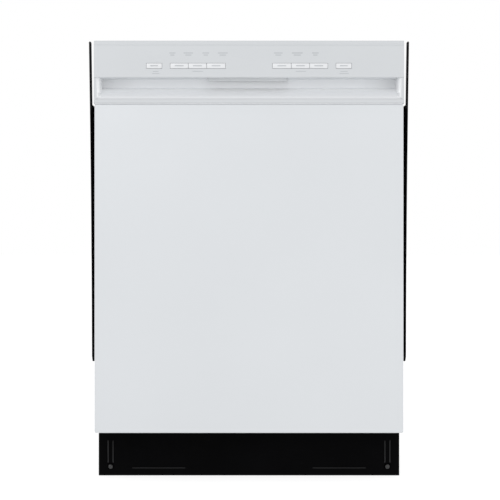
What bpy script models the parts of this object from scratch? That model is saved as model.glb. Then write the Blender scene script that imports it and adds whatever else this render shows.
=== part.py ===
"""Built-in dishwasher: a tub on a base frame, a front door on two side hinges, two sliding racks and
the wash, heating and drain pieces under and inside the tub. Metres, +Z up, the door faces -Y, and the
origin is the middle of the footprint on the floor."""
import math

import bmesh
import bpy
from mathutils import Matrix, Vector

# ---- driving dimensions ----
GAP = 0.0003
DOOR_HALF = 0.3012
CONSOLE_HALF = 0.3020
POCKET_HALF = 0.3022
CONSOLE_FACE = -0.310
BUTTON_FACE = -0.3112
DOOR_FACE = -0.305
DOOR_BOTTOM = 0.0953
DOOR_TOP = 0.7365
CONSOLE_BOTTOM = 0.7878
TOP = 0.860
HINGE_Y = -0.250
HINGE_Z = 0.100
LINER_BACK = -0.250
BULGE_FACE = -0.212
BULGE_HALF = 0.2595
TUB_HALF = 0.272
TUB_FLOOR = 0.125
TUB_CEILING = 0.827
TUB_FRONT = -0.247
TUB_REAR = 0.302
TUB_WALL = 0.001
FLANGE_HALF = 0.296
FLANGE_BACK = -0.243
KICK_FACE = -0.213
KICK_BACK = -0.200
KICK_HALF = 0.3010
KICK_LOW = 0.0006
KICK_HIGH = 0.088
KICK_SCREW_X = 0.277
KICK_SCREW_Z = 0.0185
REAR = 0.3112
BASE_HALF = 0.275
BASE_FRONT = -0.199
BASE_REAR = 0.300
BASE_BOTTOM = 0.018
PIN_RADIUS = 0.004
ARM_BORE_RADIUS = 0.0043
FLOAT_X = -0.215
FLOAT_Y = -0.185
HEATER_LEG_X = 0.030
HEATER_FRONT_Y = -0.130
LEG_X = 0.2565
LEG_FRONT_Y = -0.1805
LEG_REAR_Y = 0.2815
SUMP_Y = 0.030
FINE_FILTER_X = -0.045
SPRING_X = 0.2848
SPRING_Y = -0.185
RAIL_Z = 0.601
RAIL_IN = 0.2592
RAIL_OUT = 0.2662
GASKET_X = 0.2692
GASKET_RADIUS = 0.0024
WHEEL_RADIUS = 0.019
WHEEL_Z = 0.1582
WHEEL_FRONT_Y = -0.060
WHEEL_REAR_Y = 0.190
BUTTON_LOW = 0.8050
BUTTON_HIGH = 0.8155
BUTTON_GROUP_EDGES = (0.0456, 0.0824, 0.1179, 0.1535)
BUTTON_SINGLE_EDGES = (0.1690, 0.1998)
BUTTON_CLEARANCE = 0.0004
CUP_LOW = (-0.080, -0.234, 0.388)
CUP_HIGH = (-0.015, -0.205, 0.432)
DISPENSER_FACE = -0.2095
CAP_X = 0.050
CAP_Z = 0.415
LATCH_Y = -0.2835
LATCH_Z = 0.7935
LATCH_EARS_X = (-0.0900, 0.0790)
LATCH_EAR_WIDTH = 0.005
LIP_TOP = 0.7463

ROUND = 24
SIDES = ((-1, "left"), (1, "right"))

WHITE = (0.80, 0.81, 0.83)
PALE = (0.72, 0.73, 0.75)
BLACK = (0.015, 0.015, 0.017)
STEEL = (0.55, 0.55, 0.56)
GREY = (0.35, 0.36, 0.38)


# ---- scene and modelling helpers ----
def empty_scene():
    for thing in list(bpy.data.objects):
        bpy.data.objects.remove(thing, do_unlink=True)
    for group in list(bpy.data.collections):
        bpy.data.collections.remove(group)


def collection(name):
    group = bpy.data.collections.new(name)
    bpy.context.scene.collection.children.link(group)
    return group


def material(name, colour, roughness, metallic):
    made = bpy.data.materials.new(name)
    made.use_nodes = True
    shader = made.node_tree.nodes["Principled BSDF"]
    shader.inputs["Base Color"].default_value = (*colour, 1.0)
    shader.inputs["Roughness"].default_value = roughness
    shader.inputs["Metallic"].default_value = metallic
    return made


def axis_matrix(axis):
    """A turn that takes +Z to the axis."""
    return Vector((0, 0, 1)).rotation_difference(Vector(axis)).to_matrix().to_4x4()


def add_box(mesh, low, high):
    middle = [(a + b) / 2 for a, b in zip(low, high)]
    size = [b - a for a, b in zip(low, high)]
    place = Matrix.Translation(middle) @ Matrix.Diagonal((*size, 1))
    bmesh.ops.create_cube(mesh, size=1, matrix=place)


def add_cylinder(mesh, start, axis, radius, length, segments=ROUND, end_radius=None):
    turn = axis_matrix(axis)
    middle = Vector(start) + Vector(axis).normalized() * (length / 2)
    far = radius if end_radius is None else end_radius
    bmesh.ops.create_cone(mesh, cap_ends=True, segments=segments, radius1=radius, radius2=far,
                          depth=length, matrix=Matrix.Translation(middle) @ turn)


def mesh_object(name, build):
    """An object whose mesh is filled by build(bmesh)."""
    work = bmesh.new()
    build(work)
    data = bpy.data.meshes.new(name)
    work.to_mesh(data)
    work.free()
    return bpy.data.objects.new(name, data)


def boxes(name, *pairs):
    def build(work):
        for low, high in pairs:
            add_box(work, low, high)
    return mesh_object(name, build)


def cylinders(name, *rows):
    """Each row is start, axis, radius, length, and optionally segments and the far radius."""
    def build(work):
        for row in rows:
            add_cylinder(work, *row)
    return mesh_object(name, build)


def plate(name, outline, start, thickness, normal):
    """A flat outline extruded along the normal; its points are YZ for X, XZ for Y and XY for Z."""
    curve = bpy.data.curves.new(name, "CURVE")
    curve.dimensions = "2D"
    curve.fill_mode = "BOTH"
    curve.extrude = thickness / 2
    spline = curve.splines.new("POLY")
    spline.points.add(len(outline) - 1)
    for point, (u, v) in zip(spline.points, outline):
        point.co = (u, v, 0, 1)
    spline.use_cyclic_u = True
    middle = start + thickness / 2
    if normal == "X":
        turn = Matrix(((0, 0, 1, middle), (1, 0, 0, 0), (0, 1, 0, 0), (0, 0, 0, 1)))
    elif normal == "Y":
        turn = Matrix(((1, 0, 0, 0), (0, 0, -1, middle), (0, 1, 0, 0), (0, 0, 0, 1)))
    else:
        turn = Matrix.Translation((0, 0, middle))
    return curve_to_mesh(name, curve, turn)


def tube(name, points, radius, closed=False, resolution=2):
    curve = bpy.data.curves.new(name, "CURVE")
    curve.dimensions = "3D"
    curve.bevel_depth = radius
    curve.bevel_resolution = resolution
    curve.use_fill_caps = not closed
    spline = curve.splines.new("POLY")
    spline.points.add(len(points) - 1)
    for point, co in zip(spline.points, points):
        point.co = (*co, 1)
    spline.use_cyclic_u = closed
    return curve_to_mesh(name, curve, Matrix.Identity(4))


def curve_to_mesh(name, curve, place):
    """The curve as a welded mesh object with its place in its vertices."""
    guide = bpy.data.objects.new(name + "_guide", curve)
    bpy.context.scene.collection.objects.link(guide)
    evaluated = guide.evaluated_get(bpy.context.evaluated_depsgraph_get())
    data = bpy.data.meshes.new_from_object(evaluated)
    bpy.data.objects.remove(guide, do_unlink=True)
    work = bmesh.new()
    work.from_mesh(data)
    bmesh.ops.remove_doubles(work, verts=work.verts, dist=0.00001)
    bmesh.ops.transform(work, matrix=place, verts=work.verts)
    bmesh.ops.recalc_face_normals(work, faces=work.faces)
    work.to_mesh(data)
    work.free()
    data.name = name
    data.materials.clear()
    return bpy.data.objects.new(name, data)


def turned(name, profile, place, segments=ROUND):
    """A closed (radius, height) outline turned about +Z by a Screw modifier, then moved to place."""
    def build(work):
        corners = [work.verts.new((r, 0, z)) for r, z in profile]
        for a, b in zip(corners, corners[1:]):
            work.edges.new((a, b))
        if profile[0][0] > 0:
            work.edges.new((corners[-1], corners[0]))
    made = mesh_object(name, build)
    screw = made.modifiers.new("turn", "SCREW")
    screw.steps = segments
    screw.render_steps = segments
    screw.use_merge_vertices = True
    screw.merge_threshold = 0.00001
    bake(made)
    work = bmesh.new()
    work.from_mesh(made.data)
    bmesh.ops.recalc_face_normals(work, faces=work.faces)
    bmesh.ops.transform(work, matrix=place, verts=work.verts)
    work.to_mesh(made.data)
    work.free()
    return made


def bake(made):
    """Replaces an object's mesh with its evaluated one."""
    bpy.context.scene.collection.objects.link(made)
    evaluated = made.evaluated_get(bpy.context.evaluated_depsgraph_get())
    data = bpy.data.meshes.new_from_object(evaluated)
    made.modifiers.clear()
    made.data = data
    bpy.context.scene.collection.objects.unlink(made)


def bevelled(made, width, segments=2, angle=50):
    edge = made.modifiers.new("rounded edges", "BEVEL")
    edge.width = width
    edge.segments = segments
    edge.limit_method = "ANGLE"
    edge.angle_limit = math.radians(angle)
    return made


def combine(made, operation, *tools):
    """Boolean modifiers from each tool, which becomes a hidden cutter."""
    for tool in tools:
        cutters.objects.link(tool)
        tool.hide_render = True
        tool.display_type = "WIRE"
        step = made.modifiers.new(operation.lower() + " " + tool.name, "BOOLEAN")
        step.operation = operation
        step.solver = "EXACT"
        step.object = tool
    return made


def cut(made, *tools):
    return combine(made, "DIFFERENCE", *tools)


def join(made, *tools):
    return combine(made, "UNION", *tools)


def arc(centre, radius, start, end, steps):
    """Points on an arc between two angles in degrees."""
    turn = [math.radians(start + (end - start) * n / steps) for n in range(steps + 1)]
    return [(centre[0] + radius * math.cos(a), centre[1] + radius * math.sin(a)) for a in turn]


def mirrored(low, high, side):
    """A box given for the right side, on the side asked for."""
    if side > 0:
        return low, high
    return (-high[0], low[1], low[2]), (-low[0], high[1], high[2])


def axis_empty(name, place, parent=None):
    empty = bpy.data.objects.new(name, None)
    empty.empty_display_size = 0.03
    parts.objects.link(empty)
    attach(empty, parent, place)
    return empty


def attach(made, parent, place=None):
    """Parents an object and keeps it where it is in the world."""
    if place is not None:
        made.location = place
    if parent is not None:
        made.parent = parent
        made.matrix_parent_inverse = Matrix.Translation(parent_place(parent)).inverted()


def parent_place(empty):
    return Vector(empty["place"])


def body_axis(name, place, parent=None):
    """An empty on a body's joint axis."""
    empty = axis_empty(name, place)
    empty["place"] = list(place)
    if parent is not None:
        attach(empty, parent)
    return empty


def part(made, parent, finish):
    """Adds a finished sub-part to the model."""
    colour, roughness, metallic = finish
    parts.objects.link(made)
    made.data.materials.append(material(made.name, colour, roughness, metallic))
    made.data.shade_smooth()
    made.data.set_sharp_from_angle(angle=math.radians(35))
    attach(made, parent)
    return made


# ---- cabinet ----
def build_tub():
    tub = boxes("tub", ((-TUB_HALF - TUB_WALL, TUB_FRONT + 0.002, TUB_FLOOR - TUB_WALL),
                        (TUB_HALF + TUB_WALL, TUB_REAR + TUB_WALL, TUB_CEILING + TUB_WALL)))
    flange = boxes("tub_flange", ((-FLANGE_HALF, TUB_FRONT, 0.110), (FLANGE_HALF, FLANGE_BACK, 0.848)))
    ribs = boxes("tub_ribs", *[((x - 0.012, TUB_REAR + TUB_WALL / 2, 0.140), (x + 0.012, REAR, 0.800))
                               for x in (-0.18, 0.0, 0.18)])
    space = boxes("tub_space", ((-TUB_HALF, -0.260, TUB_FLOOR), (TUB_HALF, TUB_REAR, TUB_CEILING)))
    notches = boxes("tub_notches",
                    *[mirrored((0.2785, -0.260, 0.100), (0.310, -0.230, 0.190), s) for s, _ in SIDES],
                    ((-0.036, -0.260, 0.8302), (0.036, -0.2405, 0.860)))
    tracks = boxes("tub_tracks", *[mirrored((0.252, -0.2435, TUB_FLOOR - TUB_WALL / 2),
                                            (TUB_HALF + TUB_WALL / 2, 0.290, 0.1385), s) for s, _ in SIDES])
    holes = cylinders("tub_holes",
                      ((0, SUMP_Y, 0.110), (0, 0, 1), 0.080, 0.030, 32),
                      ((FLOAT_X, FLOAT_Y, 0.110), (0, 0, 1), 0.0065, 0.030, 12),
                      *[((side * HEATER_LEG_X, HEATER_FRONT_Y, 0.110), (0, 0, 1), 0.0055, 0.030, 12)
                        for side, _ in SIDES])
    join(tub, flange, ribs)
    cut(tub, space, notches)
    join(tub, tracks)
    cut(tub, holes)
    return part(tub, cabinet, (STEEL, 0.3, 1.0))


def build_base_frame():
    wall, top = 0.010, TUB_FLOOR - TUB_WALL - GAP
    base = boxes("base_frame", ((-BASE_HALF, BASE_FRONT, BASE_BOTTOM), (BASE_HALF, BASE_REAR, top)))
    space = boxes("base_space", ((-BASE_HALF + wall, BASE_FRONT + wall, BASE_BOTTOM + 0.004),
                                 (BASE_HALF - wall, BASE_REAR - wall, 0.130)))
    windows = boxes("base_windows", *[((x - 0.07, -0.210, 0.045), (x + 0.07, -0.180, 0.095))
                                      for x in (-0.12, 0.12)])
    sockets = boxes("base_sockets",
                    *[mirrored((LEG_X - 0.014, y - 0.014, BASE_BOTTOM + 0.001),
                               (BASE_HALF - 0.001, y + 0.014, 0.085), s)
                      for s, _ in SIDES for y in (LEG_FRONT_Y, LEG_REAR_Y)])
    links = boxes("base_links", *[mirrored((0.270, -0.150, 0.0900), (0.2915, -0.120, 0.1115), s)
                                  for s, _ in SIDES],
                  *[mirrored((0.270, SPRING_Y - 0.005, 0.0195), (0.290, SPRING_Y + 0.005, 0.0285), s)
                    for s, _ in SIDES])
    join(base, links)
    cut(base, space, windows)
    join(base, sockets)
    for side, word in SIDES:
        ear = [(-0.118, 0.0895), (-0.118, 0.1115)] + arc((HINGE_Y, HINGE_Z), 0.010, 90, 270, 8)
        inner = 0.290 if side > 0 else -0.293
        join(base, plate("hinge_ear_" + word, ear, inner, 0.003, "X"))
        join(base, cylinders("hinge_pin_" + word,
                             ((side * 0.281, HINGE_Y, HINGE_Z), (side, 0, 0), PIN_RADIUS, 0.0105, 16)))
    bores = cylinders("leg_bores", *[((side * LEG_X, y, 0.010), (0, 0, 1), 0.0055, 0.065, 16)
                                     for side, _ in SIDES for y in (LEG_FRONT_Y, LEG_REAR_Y)])
    cut(base, bores)
    return part(base, cabinet, (GREY, 0.6, 0.0))


def build_toe_kick():
    kick = boxes("toe_kick_panel", ((-KICK_HALF, KICK_FACE, KICK_LOW), (KICK_HALF, KICK_BACK, KICK_HIGH)))
    wall, rim = 0.002, 0.0025
    hollow = boxes("toe_kick_hollow", ((-KICK_HALF + wall, KICK_FACE + rim, KICK_LOW + rim),
                                       (KICK_HALF - wall, KICK_BACK + 0.010, KICK_HIGH - rim)))
    sunk = KICK_FACE + 0.001
    uprights = [mirrored((x - 0.0015, KICK_FACE - 0.003, 0.024), (x + 0.0015, sunk, 0.071), s)
                for s, _ in SIDES for x in (KICK_SCREW_X - 0.005, KICK_SCREW_X + 0.005)]
    ridge = ((-0.260, KICK_FACE - 0.0018, 0.0155), (0.253, sunk, 0.0180))
    ribs = boxes("toe_kick_ribs", *uprights, ridge)
    holes = cylinders("toe_kick_holes",
                      *[((side * KICK_SCREW_X, -0.225, KICK_SCREW_Z), (0, 1, 0), 0.0024, 0.020, 12)
                        for side, _ in SIDES])
    cut(kick, hollow)
    join(kick, ribs)
    cut(kick, holes)
    part(kick, cabinet, (BLACK, 0.35, 0.0))
    for side, word in SIDES:
        x, z = side * KICK_SCREW_X, KICK_SCREW_Z
        screw = cylinders("toe_kick_screw_" + word,
                          ((x, KICK_FACE - 0.0033, z), (0, 1, 0), 0.0032, 0.003, 16, 0.0048))
        shank = cylinders("screw_shank_" + word, ((x, KICK_FACE - 0.0008, z), (0, 1, 0), 0.0020, 0.013, 12))
        join(screw, shank)
        part(screw, cabinet, (STEEL, 0.25, 1.0))


def build_side_seals():
    """Each seal: a flat web behind the door's edge and a thin blade that leans outwards as it rises.
    Above the web only the blade's front stands free, so there is a gap beside the console."""
    foot, top, thickness = 0.232, 0.8598, 0.0032
    front, back, free_back = -0.275, -0.2455, -0.262
    outer_foot, outer_top = 0.3088, 0.3148
    root = FLANGE_HALF + GAP
    for side, word in SIDES:
        web = [(root, foot), (outer_foot - 0.003, foot), (0.3085, 0.240), (0.3105, DOOR_TOP),
               (root, DOOR_TOP)]
        foot_end = arc((outer_foot - thickness / 2, foot + 0.004), thickness / 2, 200, 340, 3)
        top_end = arc((outer_top - thickness / 2, top - thickness / 2), thickness / 2, 20, 160, 4)
        seal = plate("side_seal_" + word, [(side * x, z) for x, z in web], -0.2465, 0.0035, "Y")
        edge = [(side * x, z) for x, z in foot_end + top_end]
        blade = plate("seal_blade_" + word, edge, front, back - front, "Y")
        low, high = mirrored((0.300, free_back, DOOR_TOP + 0.001), (0.320, -0.240, top + 0.010), side)
        join(seal, blade)
        cut(seal, boxes("seal_gap_" + word, (low, high)))
        part(seal, cabinet, (BLACK, 0.5, 0.0))


def build_gasket():
    """A round tube up one side of the tub's mouth, across the top and down the other side."""
    corner, top = 0.012, 0.8237
    path = [(-GASKET_X, 0.165)] + arc((-GASKET_X + corner, top - corner), corner, 180, 90, 4)
    path = path + [(-x, z) for x, z in reversed(path)]
    gasket = tube("door_gasket", [(x, -0.2405, z) for x, z in path], GASKET_RADIUS, resolution=1)
    return part(gasket, cabinet, (GREY, 0.7, 0.0))


def build_top_brackets():
    for side, word in SIDES:
        low, high = mirrored((0.185, -0.2425, 0.8322), (0.225, -0.2395, 0.8590), side)
        bracket = boxes("mounting_bracket_" + word, (low, high))
        shelf = boxes("bracket_shelf_" + word,
                      ((low[0], -0.2405, high[2] - 0.002), (high[0], -0.200, high[2])))
        middle = (low[0] + high[0]) / 2
        hole = cylinders("bracket_hole_" + word, ((middle, -0.213, 0.850), (0, 0, 1), 0.003, 0.02, 16))
        join(bracket, shelf)
        cut(bracket, hole)
        part(bracket, cabinet, (STEEL, 0.35, 1.0))
    strike = boxes("latch_strike", ((-0.034, -0.2400, 0.8303), (0.034, -0.2380, 0.8460)))
    tongue = boxes("strike_tongue", ((-0.015, -0.2750, 0.8335), (0.015, -0.2390, 0.8365)))
    window = boxes("strike_window", ((-0.009, -0.2700, 0.8200), (0.009, -0.2600, 0.8400)))
    join(strike, tongue)
    cut(strike, window)
    part(strike, cabinet, (STEEL, 0.3, 1.0))


def build_sump():
    outer = [(0.0880, 0.1275), (0.0880, 0.1254), (0.0795, 0.1254), (0.0795, 0.095), (0.060, 0.050),
             (0.0, 0.050)]
    inner = [(0.0, 0.176), (0.006, 0.176), (0.006, 0.165), (0.014, 0.165), (0.014, 0.054),
             (0.0575, 0.054), (0.0765, 0.096), (0.0765, 0.1275)]
    profile = list(reversed(outer)) + list(reversed(inner))
    place = Matrix.Translation((0, SUMP_Y, 0))
    sump = turned("sump", profile, place)
    return part(sump, cabinet, (GREY, 0.5, 0.0))


def build_pumps():
    """The circulation pump and its motor lie across the base on the right, the drain pump on the left."""
    y, z = 0.070, 0.073
    pump = cylinders("circulation_pump", ((0.085, y, z), (1, 0, 0), 0.040, 0.055))
    motor = cylinders("pump_motor", ((0.139, y, z), (1, 0, 0), 0.033, 0.085, 20))
    foot = boxes("pump_foot", ((0.150, y - 0.020, BASE_BOTTOM + 0.0045), (0.210, y + 0.020, 0.048)))
    port = cylinders("pump_port", ((0.110, y, z - 0.003), (0, -1, 0), 0.012, 0.055, 16))
    join(pump, motor, foot, port)
    part(pump, cabinet, (BLACK, 0.45, 0.0))
    y, z = 0.010, 0.058
    drain = cylinders("drain_pump", ((-0.100, y, z), (-1, 0, 0), 0.026, 0.030))
    drain_motor = cylinders("drain_motor", ((-0.129, y, z), (-1, 0, 0), 0.019, 0.040, 16))
    outlet = cylinders("drain_outlet", ((-0.115, y, z + 0.007), (0, 1, 0), 0.010, 0.060, 16))
    join(drain, drain_motor, outlet)
    part(drain, cabinet, (GREY, 0.5, 0.0))


def build_connections():
    """The water inlet valve behind the left window and the junction box for the supply on the right."""
    valve = boxes("inlet_valve", ((-0.215, -0.165, 0.040), (-0.175, -0.105, 0.078)))
    coil = cylinders("valve_coil", ((-0.195, -0.135, 0.077), (0, 0, 1), 0.014, 0.024, 16))
    thread = cylinders("valve_thread", ((-0.195, -0.110, 0.058), (0, 1, 0), 0.010, 0.030, 16))
    join(valve, coil, thread)
    part(valve, cabinet, (PALE, 0.5, 0.0))
    junction = boxes("junction_box", ((0.160, -0.172, 0.0225), (0.235, -0.105, 0.070)))
    entry = cylinders("cable_entry", ((0.200, -0.100, 0.047), (0, 1, 0), 0.011, 0.030, 16))
    hollow = boxes("junction_hollow", ((0.163, -0.169, 0.030), (0.232, -0.108, 0.080)))
    cut(junction, hollow, entry)
    part(junction, cabinet, (STEEL, 0.4, 1.0))


def build_coarse_filter():
    disc = cylinders("coarse_filter", ((0, SUMP_Y, 0.1285), (0, 0, 1), 0.108, 0.004, 36))
    holes = cylinders("filter_holes", ((0, SUMP_Y, 0.120), (0, 0, 1), 0.016, 0.02, 16),
                      ((FINE_FILTER_X, SUMP_Y, 0.120), (0, 0, 1), 0.0268, 0.02, 24))
    cut(disc, holes)
    return part(disc, cabinet, (STEEL, 0.35, 1.0))


def build_heating_element():
    half, front, back, corner, level = 0.165, HEATER_FRONT_Y, 0.195, 0.05, 0.1505
    foot, bend = 0.112, 0.006
    leg, start = HEATER_LEG_X, HEATER_LEG_X + bend
    path = [(-leg, front, foot), (-leg, front, level - bend), (-start, front, level)]
    turns = (((-half + corner, front + corner), 270, 180), ((-half + corner, back - corner), 180, 90),
             ((half - corner, back - corner), 90, 0), ((half - corner, front + corner), 0, -90))
    for centre, start, end in turns:
        path = path + [(x, y, level) for x, y in arc(centre, corner, start, end, 4)]
    path = path + [(start, front, level), (leg, front, level - bend), (leg, front, foot)]
    return part(tube("heating_element", path, 0.004, resolution=1), cabinet, (GREY, 0.4, 1.0))


def build_water_feed():
    path = [(0, 0.146, 0.1365), (0, 0.270, 0.1365)]
    path = path + [(0, y, z) for y, z in arc((0.270, 0.1515), 0.015, 270, 360, 4)]
    path = path + [(0, y, z) for y, z in arc((0.270, 0.799), 0.015, 0, 90, 4)] + [(0, 0.050, 0.814)]
    feed = tube("water_feed_tube", path, 0.0075)
    dock = cylinders("feed_dock", ((0, 0.282, 0.487), (0, -1, 0), 0.012, 0.0165, 20))
    nozzle = cylinders("ceiling_nozzle", ((0, 0.055, 0.818), (0, 0, -1), 0.020, 0.016, 20, 0.026))
    join(feed, dock, nozzle)
    return part(feed, cabinet, (PALE, 0.4, 0.0))


def build_rail_guides():
    for side, word in SIDES:
        low, high = mirrored((0.2645, -0.205, 0.588), (0.2717, 0.285, 0.614), side)
        guide = boxes("rail_guide_" + word, (low, high))
        low, high = mirrored((0.2550, -0.206, 0.592), (0.2695, 0.281, 0.610), side)
        cut(guide, boxes("guide_channel_" + word, (low, high)))
        part(guide, cabinet, (STEEL, 0.3, 1.0))


def build_door_springs():
    for side, word in SIDES:
        spring = cylinders("door_spring_" + word,
                           ((side * SPRING_X, SPRING_Y, 0.0290), (0, 0, 1), 0.0040, 0.0600, 12))
        part(spring, cabinet, (STEEL, 0.35, 1.0))


def build_legs():
    for y, end in ((LEG_FRONT_Y, "front"), (LEG_REAR_Y, "rear")):
        for side, word in SIDES:
            name = f"leveling_leg_{end}_{word}"
            axis = body_axis(name + "_slide", (side * LEG_X, y, 0.0), cabinet)
            leg = cylinders(name, ((side * LEG_X, y, 0), (0, 0, 1), 0.016, 0.006, 20))
            nut = cylinders(name + "_nut", ((side * LEG_X, y, 0.0055), (0, 0, 1), 0.009, 0.007, 6))
            stem = cylinders(name + "_stem", ((side * LEG_X, y, 0.005), (0, 0, 1), 0.005, 0.060, 16))
            join(leg, nut, stem)
            part(leg, axis, (BLACK, 0.5, 0.0))


# ---- wash parts that move ----
def build_fine_filter():
    axis = body_axis("fine_filter_twist", (FINE_FILTER_X, SUMP_Y, 0.130), cabinet)
    profile = [(0.0, 0.088), (0.024, 0.088), (0.026, 0.092), (0.026, 0.1465), (0.024, 0.1465),
               (0.024, 0.094), (0.0, 0.094)]
    cup = turned("fine_filter", profile, Matrix.Translation((FINE_FILTER_X, SUMP_Y, 0)))
    grip = boxes("filter_grip", ((FINE_FILTER_X - 0.0025, SUMP_Y - 0.0245, 0.132),
                                 (FINE_FILTER_X + 0.0025, SUMP_Y + 0.0245, 0.1455)))
    join(cup, grip)
    part(cup, axis, (GREY, 0.5, 0.0))


def build_float():
    axis = body_axis("float_slide", (FLOAT_X, FLOAT_Y, 0.128), cabinet)
    profile = [(0.0, 0.163), (0.012, 0.1625), (0.019, 0.157), (0.021, 0.150), (0.021, 0.1290),
               (0.019, 0.1290), (0.019, 0.150), (0.016, 0.157), (0.0, 0.158)]
    dome = turned("float_cap", profile, Matrix.Translation((FLOAT_X, FLOAT_Y, 0)))
    part(dome, axis, (PALE, 0.5, 0.0))


def spray_arm(name, z_low, reach, bore, hub_low, hub_high, parent):
    """A two-bladed arm about the vertical line through the sump."""
    half, tip_radius, shoulder = 0.022, 0.017, 0.045
    tip = [(reach - tip_radius + x, y) for x, y in arc((0, 0), tip_radius, -90, 90, 6)]
    blade = [(shoulder, -half)] + tip + [(shoulder, half)]
    outline = blade + [(-x, -y) for x, y in blade]
    arm = plate(name, [(x, y + SUMP_Y) for x, y in outline], z_low, 0.014, "Z")
    hub = cylinders(name + "_hub", ((0, SUMP_Y, hub_low), (0, 0, 1), 0.026, hub_high - hub_low))
    hole = cylinders(name + "_bore", ((0, SUMP_Y, hub_low - 0.01), (0, 0, 1), bore, 0.050, 16))
    join(arm, hub)
    cut(arm, hole)
    part(arm, parent, (GREY, 0.5, 0.0))


def bars(name, axis, rows, thick):
    """Square bars along one axis; each row is (start, end, first other coordinate, second)."""
    half = thick / 2
    pairs = []
    for start, end, u, v in rows:
        if axis == "X":
            pairs.append(((start, u - half, v - half), (end, u + half, v + half)))
        elif axis == "Y":
            pairs.append(((u - half, start, v - half), (u + half, end, v + half)))
        else:
            pairs.append(((u - half, v - half, start), (u + half, v + half, end)))
    return boxes(name, *pairs)


def rack(name, half, front, rear, bottom, rim, across, along, posts, extra=()):
    """A wire basket: rings of bars at the floor and the rim, floor bars, and upright posts."""
    thick = 0.0042
    fine = 0.0034
    # the floor's long bars lie just above its cross bars and sink half into them
    x_rows = [(-half, half, y, bottom) for y in across]
    x_rows += [(-half, half, y, rim) for y in (front, rear)]
    x_rows += [(-half, half, y, (bottom + rim) / 2) for y in (front, rear)]
    y_rows = [(front + 0.0005, rear - 0.0005, x, bottom + 0.0022) for x in along]
    y_rows += [(front - 0.0009, rear + 0.0009, s * (half - 0.0008), level + 0.0013)
               for s in (-1, 1) for level in (bottom, (bottom + rim) / 2, rim)]
    z_rows = [(bottom - 0.0010, rim + 0.0008, x, y + s * 0.0005)
              for x in posts for y, s in ((front, 1), (rear, -1))]
    z_rows += [(bottom - 0.0010, rim + 0.0018, s * (half - 0.0013), y) for s in (-1, 1) for y in across
               if front + 0.01 < y < rear - 0.01]
    basket = bars(name, "X", x_rows, thick)
    join(basket, bars(name + "_along", "Y", y_rows, fine + 0.0002), bars(name + "_posts", "Z", z_rows, fine))
    if extra:
        join(basket, *extra)
    return basket


def spread(low, high, count):
    return [low + (high - low) * n / (count - 1) for n in range(count)]


def build_upper_rack(rails, carriage):
    """The sliding rails, the upper basket with its four hangers, and the tube that feeds its spray arm."""
    for side, word in SIDES:
        low, high = mirrored((RAIL_IN, -0.203, RAIL_Z - 0.0065), (RAIL_OUT, 0.262, RAIL_Z + 0.0065), side)
        part(boxes("rack_rail_" + word, (low, high)), rails, (STEEL, 0.25, 1.0))
    half, front, rear = 0.2500, -0.192, 0.250
    across = spread(front, rear, 5)
    hangers = boxes("rack_hangers", *[mirrored((0.2475, y - 0.02, 0.590), (0.2577, y + 0.02, 0.612), s)
                                      for s, _ in SIDES for y in (across[1], across[3])])
    clip = boxes("manifold_clip", ((-0.009, -0.030, 0.4985), (0.009, 0.220, 0.5035)))
    basket = rack("upper_rack", half, front, rear, 0.503, 0.630, across,
                  spread(-0.225, 0.225, 7), spread(-0.225, 0.225, 7), (hangers, clip))
    part(basket, carriage, (WHITE, 0.4, 0.0))
    manifold = tube("rack_manifold", [(0, SUMP_Y - 0.004, 0.487), (0, 0.2635, 0.487)], 0.0075)
    hub = cylinders("manifold_hub", ((0, SUMP_Y, 0.4765), (0, 0, 1), 0.018, 0.0175, 20))
    pin = cylinders("manifold_pin", ((0, SUMP_Y, 0.4580), (0, 0, 1), 0.005, 0.022, 16))
    join(manifold, hub, pin)
    part(manifold, carriage, (PALE, 0.45, 0.0))


def build_lower_rack(carriage):
    """The lower basket with four legs and stub axles, and a wheel on each axle."""
    half, front, rear = 0.2450, -0.180, 0.240
    thick = 0.0045
    legs = boxes("wheel_legs", *[mirrored((half - 0.003, y - 0.012, WHEEL_Z - 0.008),
                                          (half + thick, y + 0.012, 0.206), s)
                                 for s, _ in SIDES for y in (WHEEL_FRONT_Y, WHEEL_REAR_Y)])
    pins = cylinders("wheel_pins", *[((side * (half + 0.003), y, WHEEL_Z), (side, 0, 0), 0.003, 0.0185, 12)
                                     for side, _ in SIDES for y in (WHEEL_FRONT_Y, WHEEL_REAR_Y)])
    basket = rack("lower_rack", half, front, rear, 0.200, 0.352, spread(front, rear, 5),
                  spread(-0.21, 0.21, 7), spread(-0.21, 0.21, 7), (legs, pins))
    part(basket, carriage, (WHITE, 0.4, 0.0))
    for y, end in ((WHEEL_FRONT_Y, "front"), (WHEEL_REAR_Y, "rear")):
        for side, word in SIDES:
            name = f"lower_rack_wheel_{end}_{word}"
            axis = body_axis(name + "_spin", (side * 0.2595, y, WHEEL_Z), carriage)
            wheel = cylinders(name, ((side * 0.2555, y, WHEEL_Z), (side, 0, 0), WHEEL_RADIUS, 0.008))
            bore = cylinders(name + "_bore", ((side * 0.250, y, WHEEL_Z), (side, 0, 0), 0.0034, 0.020, 12))
            cut(wheel, bore)
            part(wheel, axis, (PALE, 0.4, 0.0))


def build_silverware_basket(carriage):
    low, high, wall = Vector((0.150, -0.155, 0.2075)), Vector((0.232, 0.055, 0.330)), 0.002
    basket = boxes("silverware_basket", (low, high))
    cell = (high.y - low.y - wall) / 3
    cells = [((low.x + wall, low.y + wall + n * cell, low.z + wall),
              (high.x - wall, low.y + (n + 1) * cell, high.z + 0.01)) for n in range(3)]
    grip = tube("basket_grip", [(0.191, low.y + 0.001, 0.326), (0.191, low.y + 0.001, 0.365),
                                (0.191, low.y + 0.016, 0.380), (0.191, high.y - 0.016, 0.380),
                                (0.191, high.y - 0.001, 0.365), (0.191, high.y - 0.001, 0.326)], 0.0035)
    cut(basket, boxes("basket_cells", *cells))
    join(basket, grip)
    part(basket, carriage, (GREY, 0.5, 0.0))


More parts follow.
